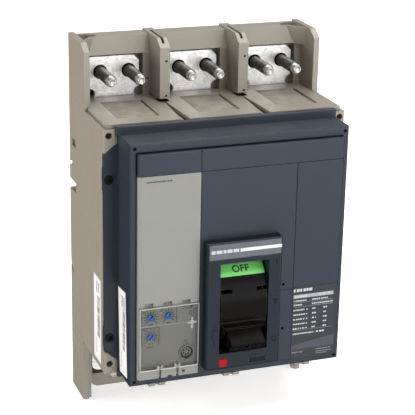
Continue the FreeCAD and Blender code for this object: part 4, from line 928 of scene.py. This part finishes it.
# %% [markdown]
# ## The studio
# The breaker stands on a plain white acrylic table that is lit from below, so it stays evenly
# pale to its far edge.  A wide softbox on the left lights the grey side, a larger and cooler one
# in front and to the right lifts the front panel, a small one over the front opens up the
# terminal bays, and one above and behind puts the sheen on the tops.  The table and the room are
# kept out of the reflections, as dark cloths do in a studio, so the charcoal stays deep on its
# side and shines only in front.

# %% Floor and room
floor_mesh = bmesh.new()
bmesh.ops.create_grid(floor_mesh, x_segments=8, y_segments=8, size=7.0,
                      matrix=Matrix.Translation((0.0, 0.0, cad_box[0].z - 0.0006)))
floor_data = bpy.data.meshes.new("studio_floor")
floor_mesh.to_mesh(floor_data)
floor_mesh.free()
floor = bpy.data.objects.new("studio_floor", floor_data)
bpy.context.scene.collection.objects.link(floor)
floor_paint, floor_tree = blank("backlit_white_acrylic")
floor_spot = add(floor_tree, "ShaderNodeTexCoord").outputs["Object"]
floor_noise = add(floor_tree, "ShaderNodeTexNoise", None, {
    "Vector": floor_spot, "Scale": fine(300), "Detail": 4.0})
floor_colour = add(floor_tree, "ShaderNodeMix", {"data_type": "RGBA"},
                   {0: floor_noise.outputs["Fac"], 6: linear("#f6f6f5"), 7: linear("#f3f3f2")})
close(floor_tree, add(floor_tree, "ShaderNodeBsdfPrincipled", None, {
    "Base Color": floor_colour.outputs[2], "Roughness": 0.9, "Specular IOR Level": 0.1,
    "Emission Color": linear("#fbfbfb"), "Emission Strength": 0.62}))
floor_data.materials.append(floor_paint)
floor.visible_glossy = False

room = bpy.data.worlds.new("studio_room")
bpy.context.scene.world = room
room.use_nodes = True
room_tree = room.node_tree
room_tree.nodes.clear()
look = add(room_tree, "ShaderNodeTexCoord").outputs["Generated"]
axes = add(room_tree, "ShaderNodeSeparateXYZ", None, {"Vector": look})
ahead = add(room_tree, "ShaderNodeMapRange", None, {
    "Value": axes.outputs["Y"], "From Min": 0.1, "From Max": -0.8, "To Min": 0.02, "To Max": 1.35})
above = add(room_tree, "ShaderNodeMapRange", None, {
    "Value": axes.outputs["Z"], "From Min": -0.1, "From Max": 0.15})
glow = add(room_tree, "ShaderNodeMix", {"data_type": "FLOAT"},
           {0: above.outputs["Result"], 2: ahead.outputs["Result"], 3: 0.3})
air = add(room_tree, "ShaderNodeBackground", None, {
    "Color": (0.96, 0.98, 1.0, 1.0), "Strength": glow.outputs[0]})
add(room_tree, "ShaderNodeOutputWorld", None, {"Surface": air.outputs["Background"]})
print("floor and room ready")


# %% Softboxes
def softbox(name, where, aim, width, height, power, colour):
    """A rectangular soft light that looks from one point at another."""
    lamp = bpy.data.lights.new(name, "AREA")
    lamp.shape = "RECTANGLE"
    lamp.size = width
    lamp.size_y = height
    lamp.energy = power
    lamp.color = colour
    holder = bpy.data.objects.new(name, lamp)
    bpy.context.scene.collection.objects.link(holder)
    holder.location = where
    holder.rotation_mode = "QUATERNION"
    holder.rotation_quaternion = (Vector(aim) - Vector(where)).to_track_quat("-Z", "Y")
    return holder


softbox("left_softbox", (-1.7, 0.25, 0.35), (0, 0, 0), 1.0, 1.0, 21.0, (1.0, 0.97, 0.93))
softbox("front_softbox", (0.75, -1.7, 0.35), (0, 0, -0.02), 1.5, 1.2, 15.5, (0.95, 0.97, 1.0))
softbox("top_softbox", (0.35, 0.55, 1.55), (0, 0, 0), 1.4, 1.0, 22.0, (1.0, 0.99, 0.97))
softbox("brow_softbox", (0.25, -1.0, 1.3), (0, -0.05, 0.03), 0.9, 0.6, 11.0, (1.0, 0.99, 0.98))
print("lights", len(bpy.data.lights))

# %% [markdown]
# ## The camera
# A long lens keeps the case's edges nearly parallel.  It looks from the left and from above, with
# a very small roll.  Its axes are built from the viewing direction, so nothing has to be turned
# by hand.

# %% Camera
AZIMUTH, ELEVATION, ROLL = math.radians(-20.153), math.radians(19.6), math.radians(1.144)
TARGET, DISTANCE, LENS = Vector((-0.003269, -0.073, 0.020857)), 1.23458, 125.15
back = Vector((math.sin(AZIMUTH) * math.cos(ELEVATION), -math.cos(AZIMUTH) * math.cos(ELEVATION),
               math.sin(ELEVATION)))
level = Vector((0, 0, 1)).cross(back).normalized()
rise = back.cross(level)
camera_x = math.cos(ROLL) * level + math.sin(ROLL) * rise
camera_y = -math.sin(ROLL) * level + math.cos(ROLL) * rise
lens = bpy.data.cameras.new("catalogue_camera")
lens.lens = LENS
lens.sensor_width = 36.0
camera = bpy.data.objects.new("catalogue_camera", lens)
bpy.context.scene.collection.objects.link(camera)
camera.matrix_world = Matrix.Translation(TARGET + DISTANCE * back) @ Matrix(
    (camera_x, camera_y, back)).transposed().to_4x4()
bpy.context.scene.camera = camera
bpy.context.scene.view_settings.view_transform = "Standard"
print("camera", [round(c, 3) for c in camera.location])
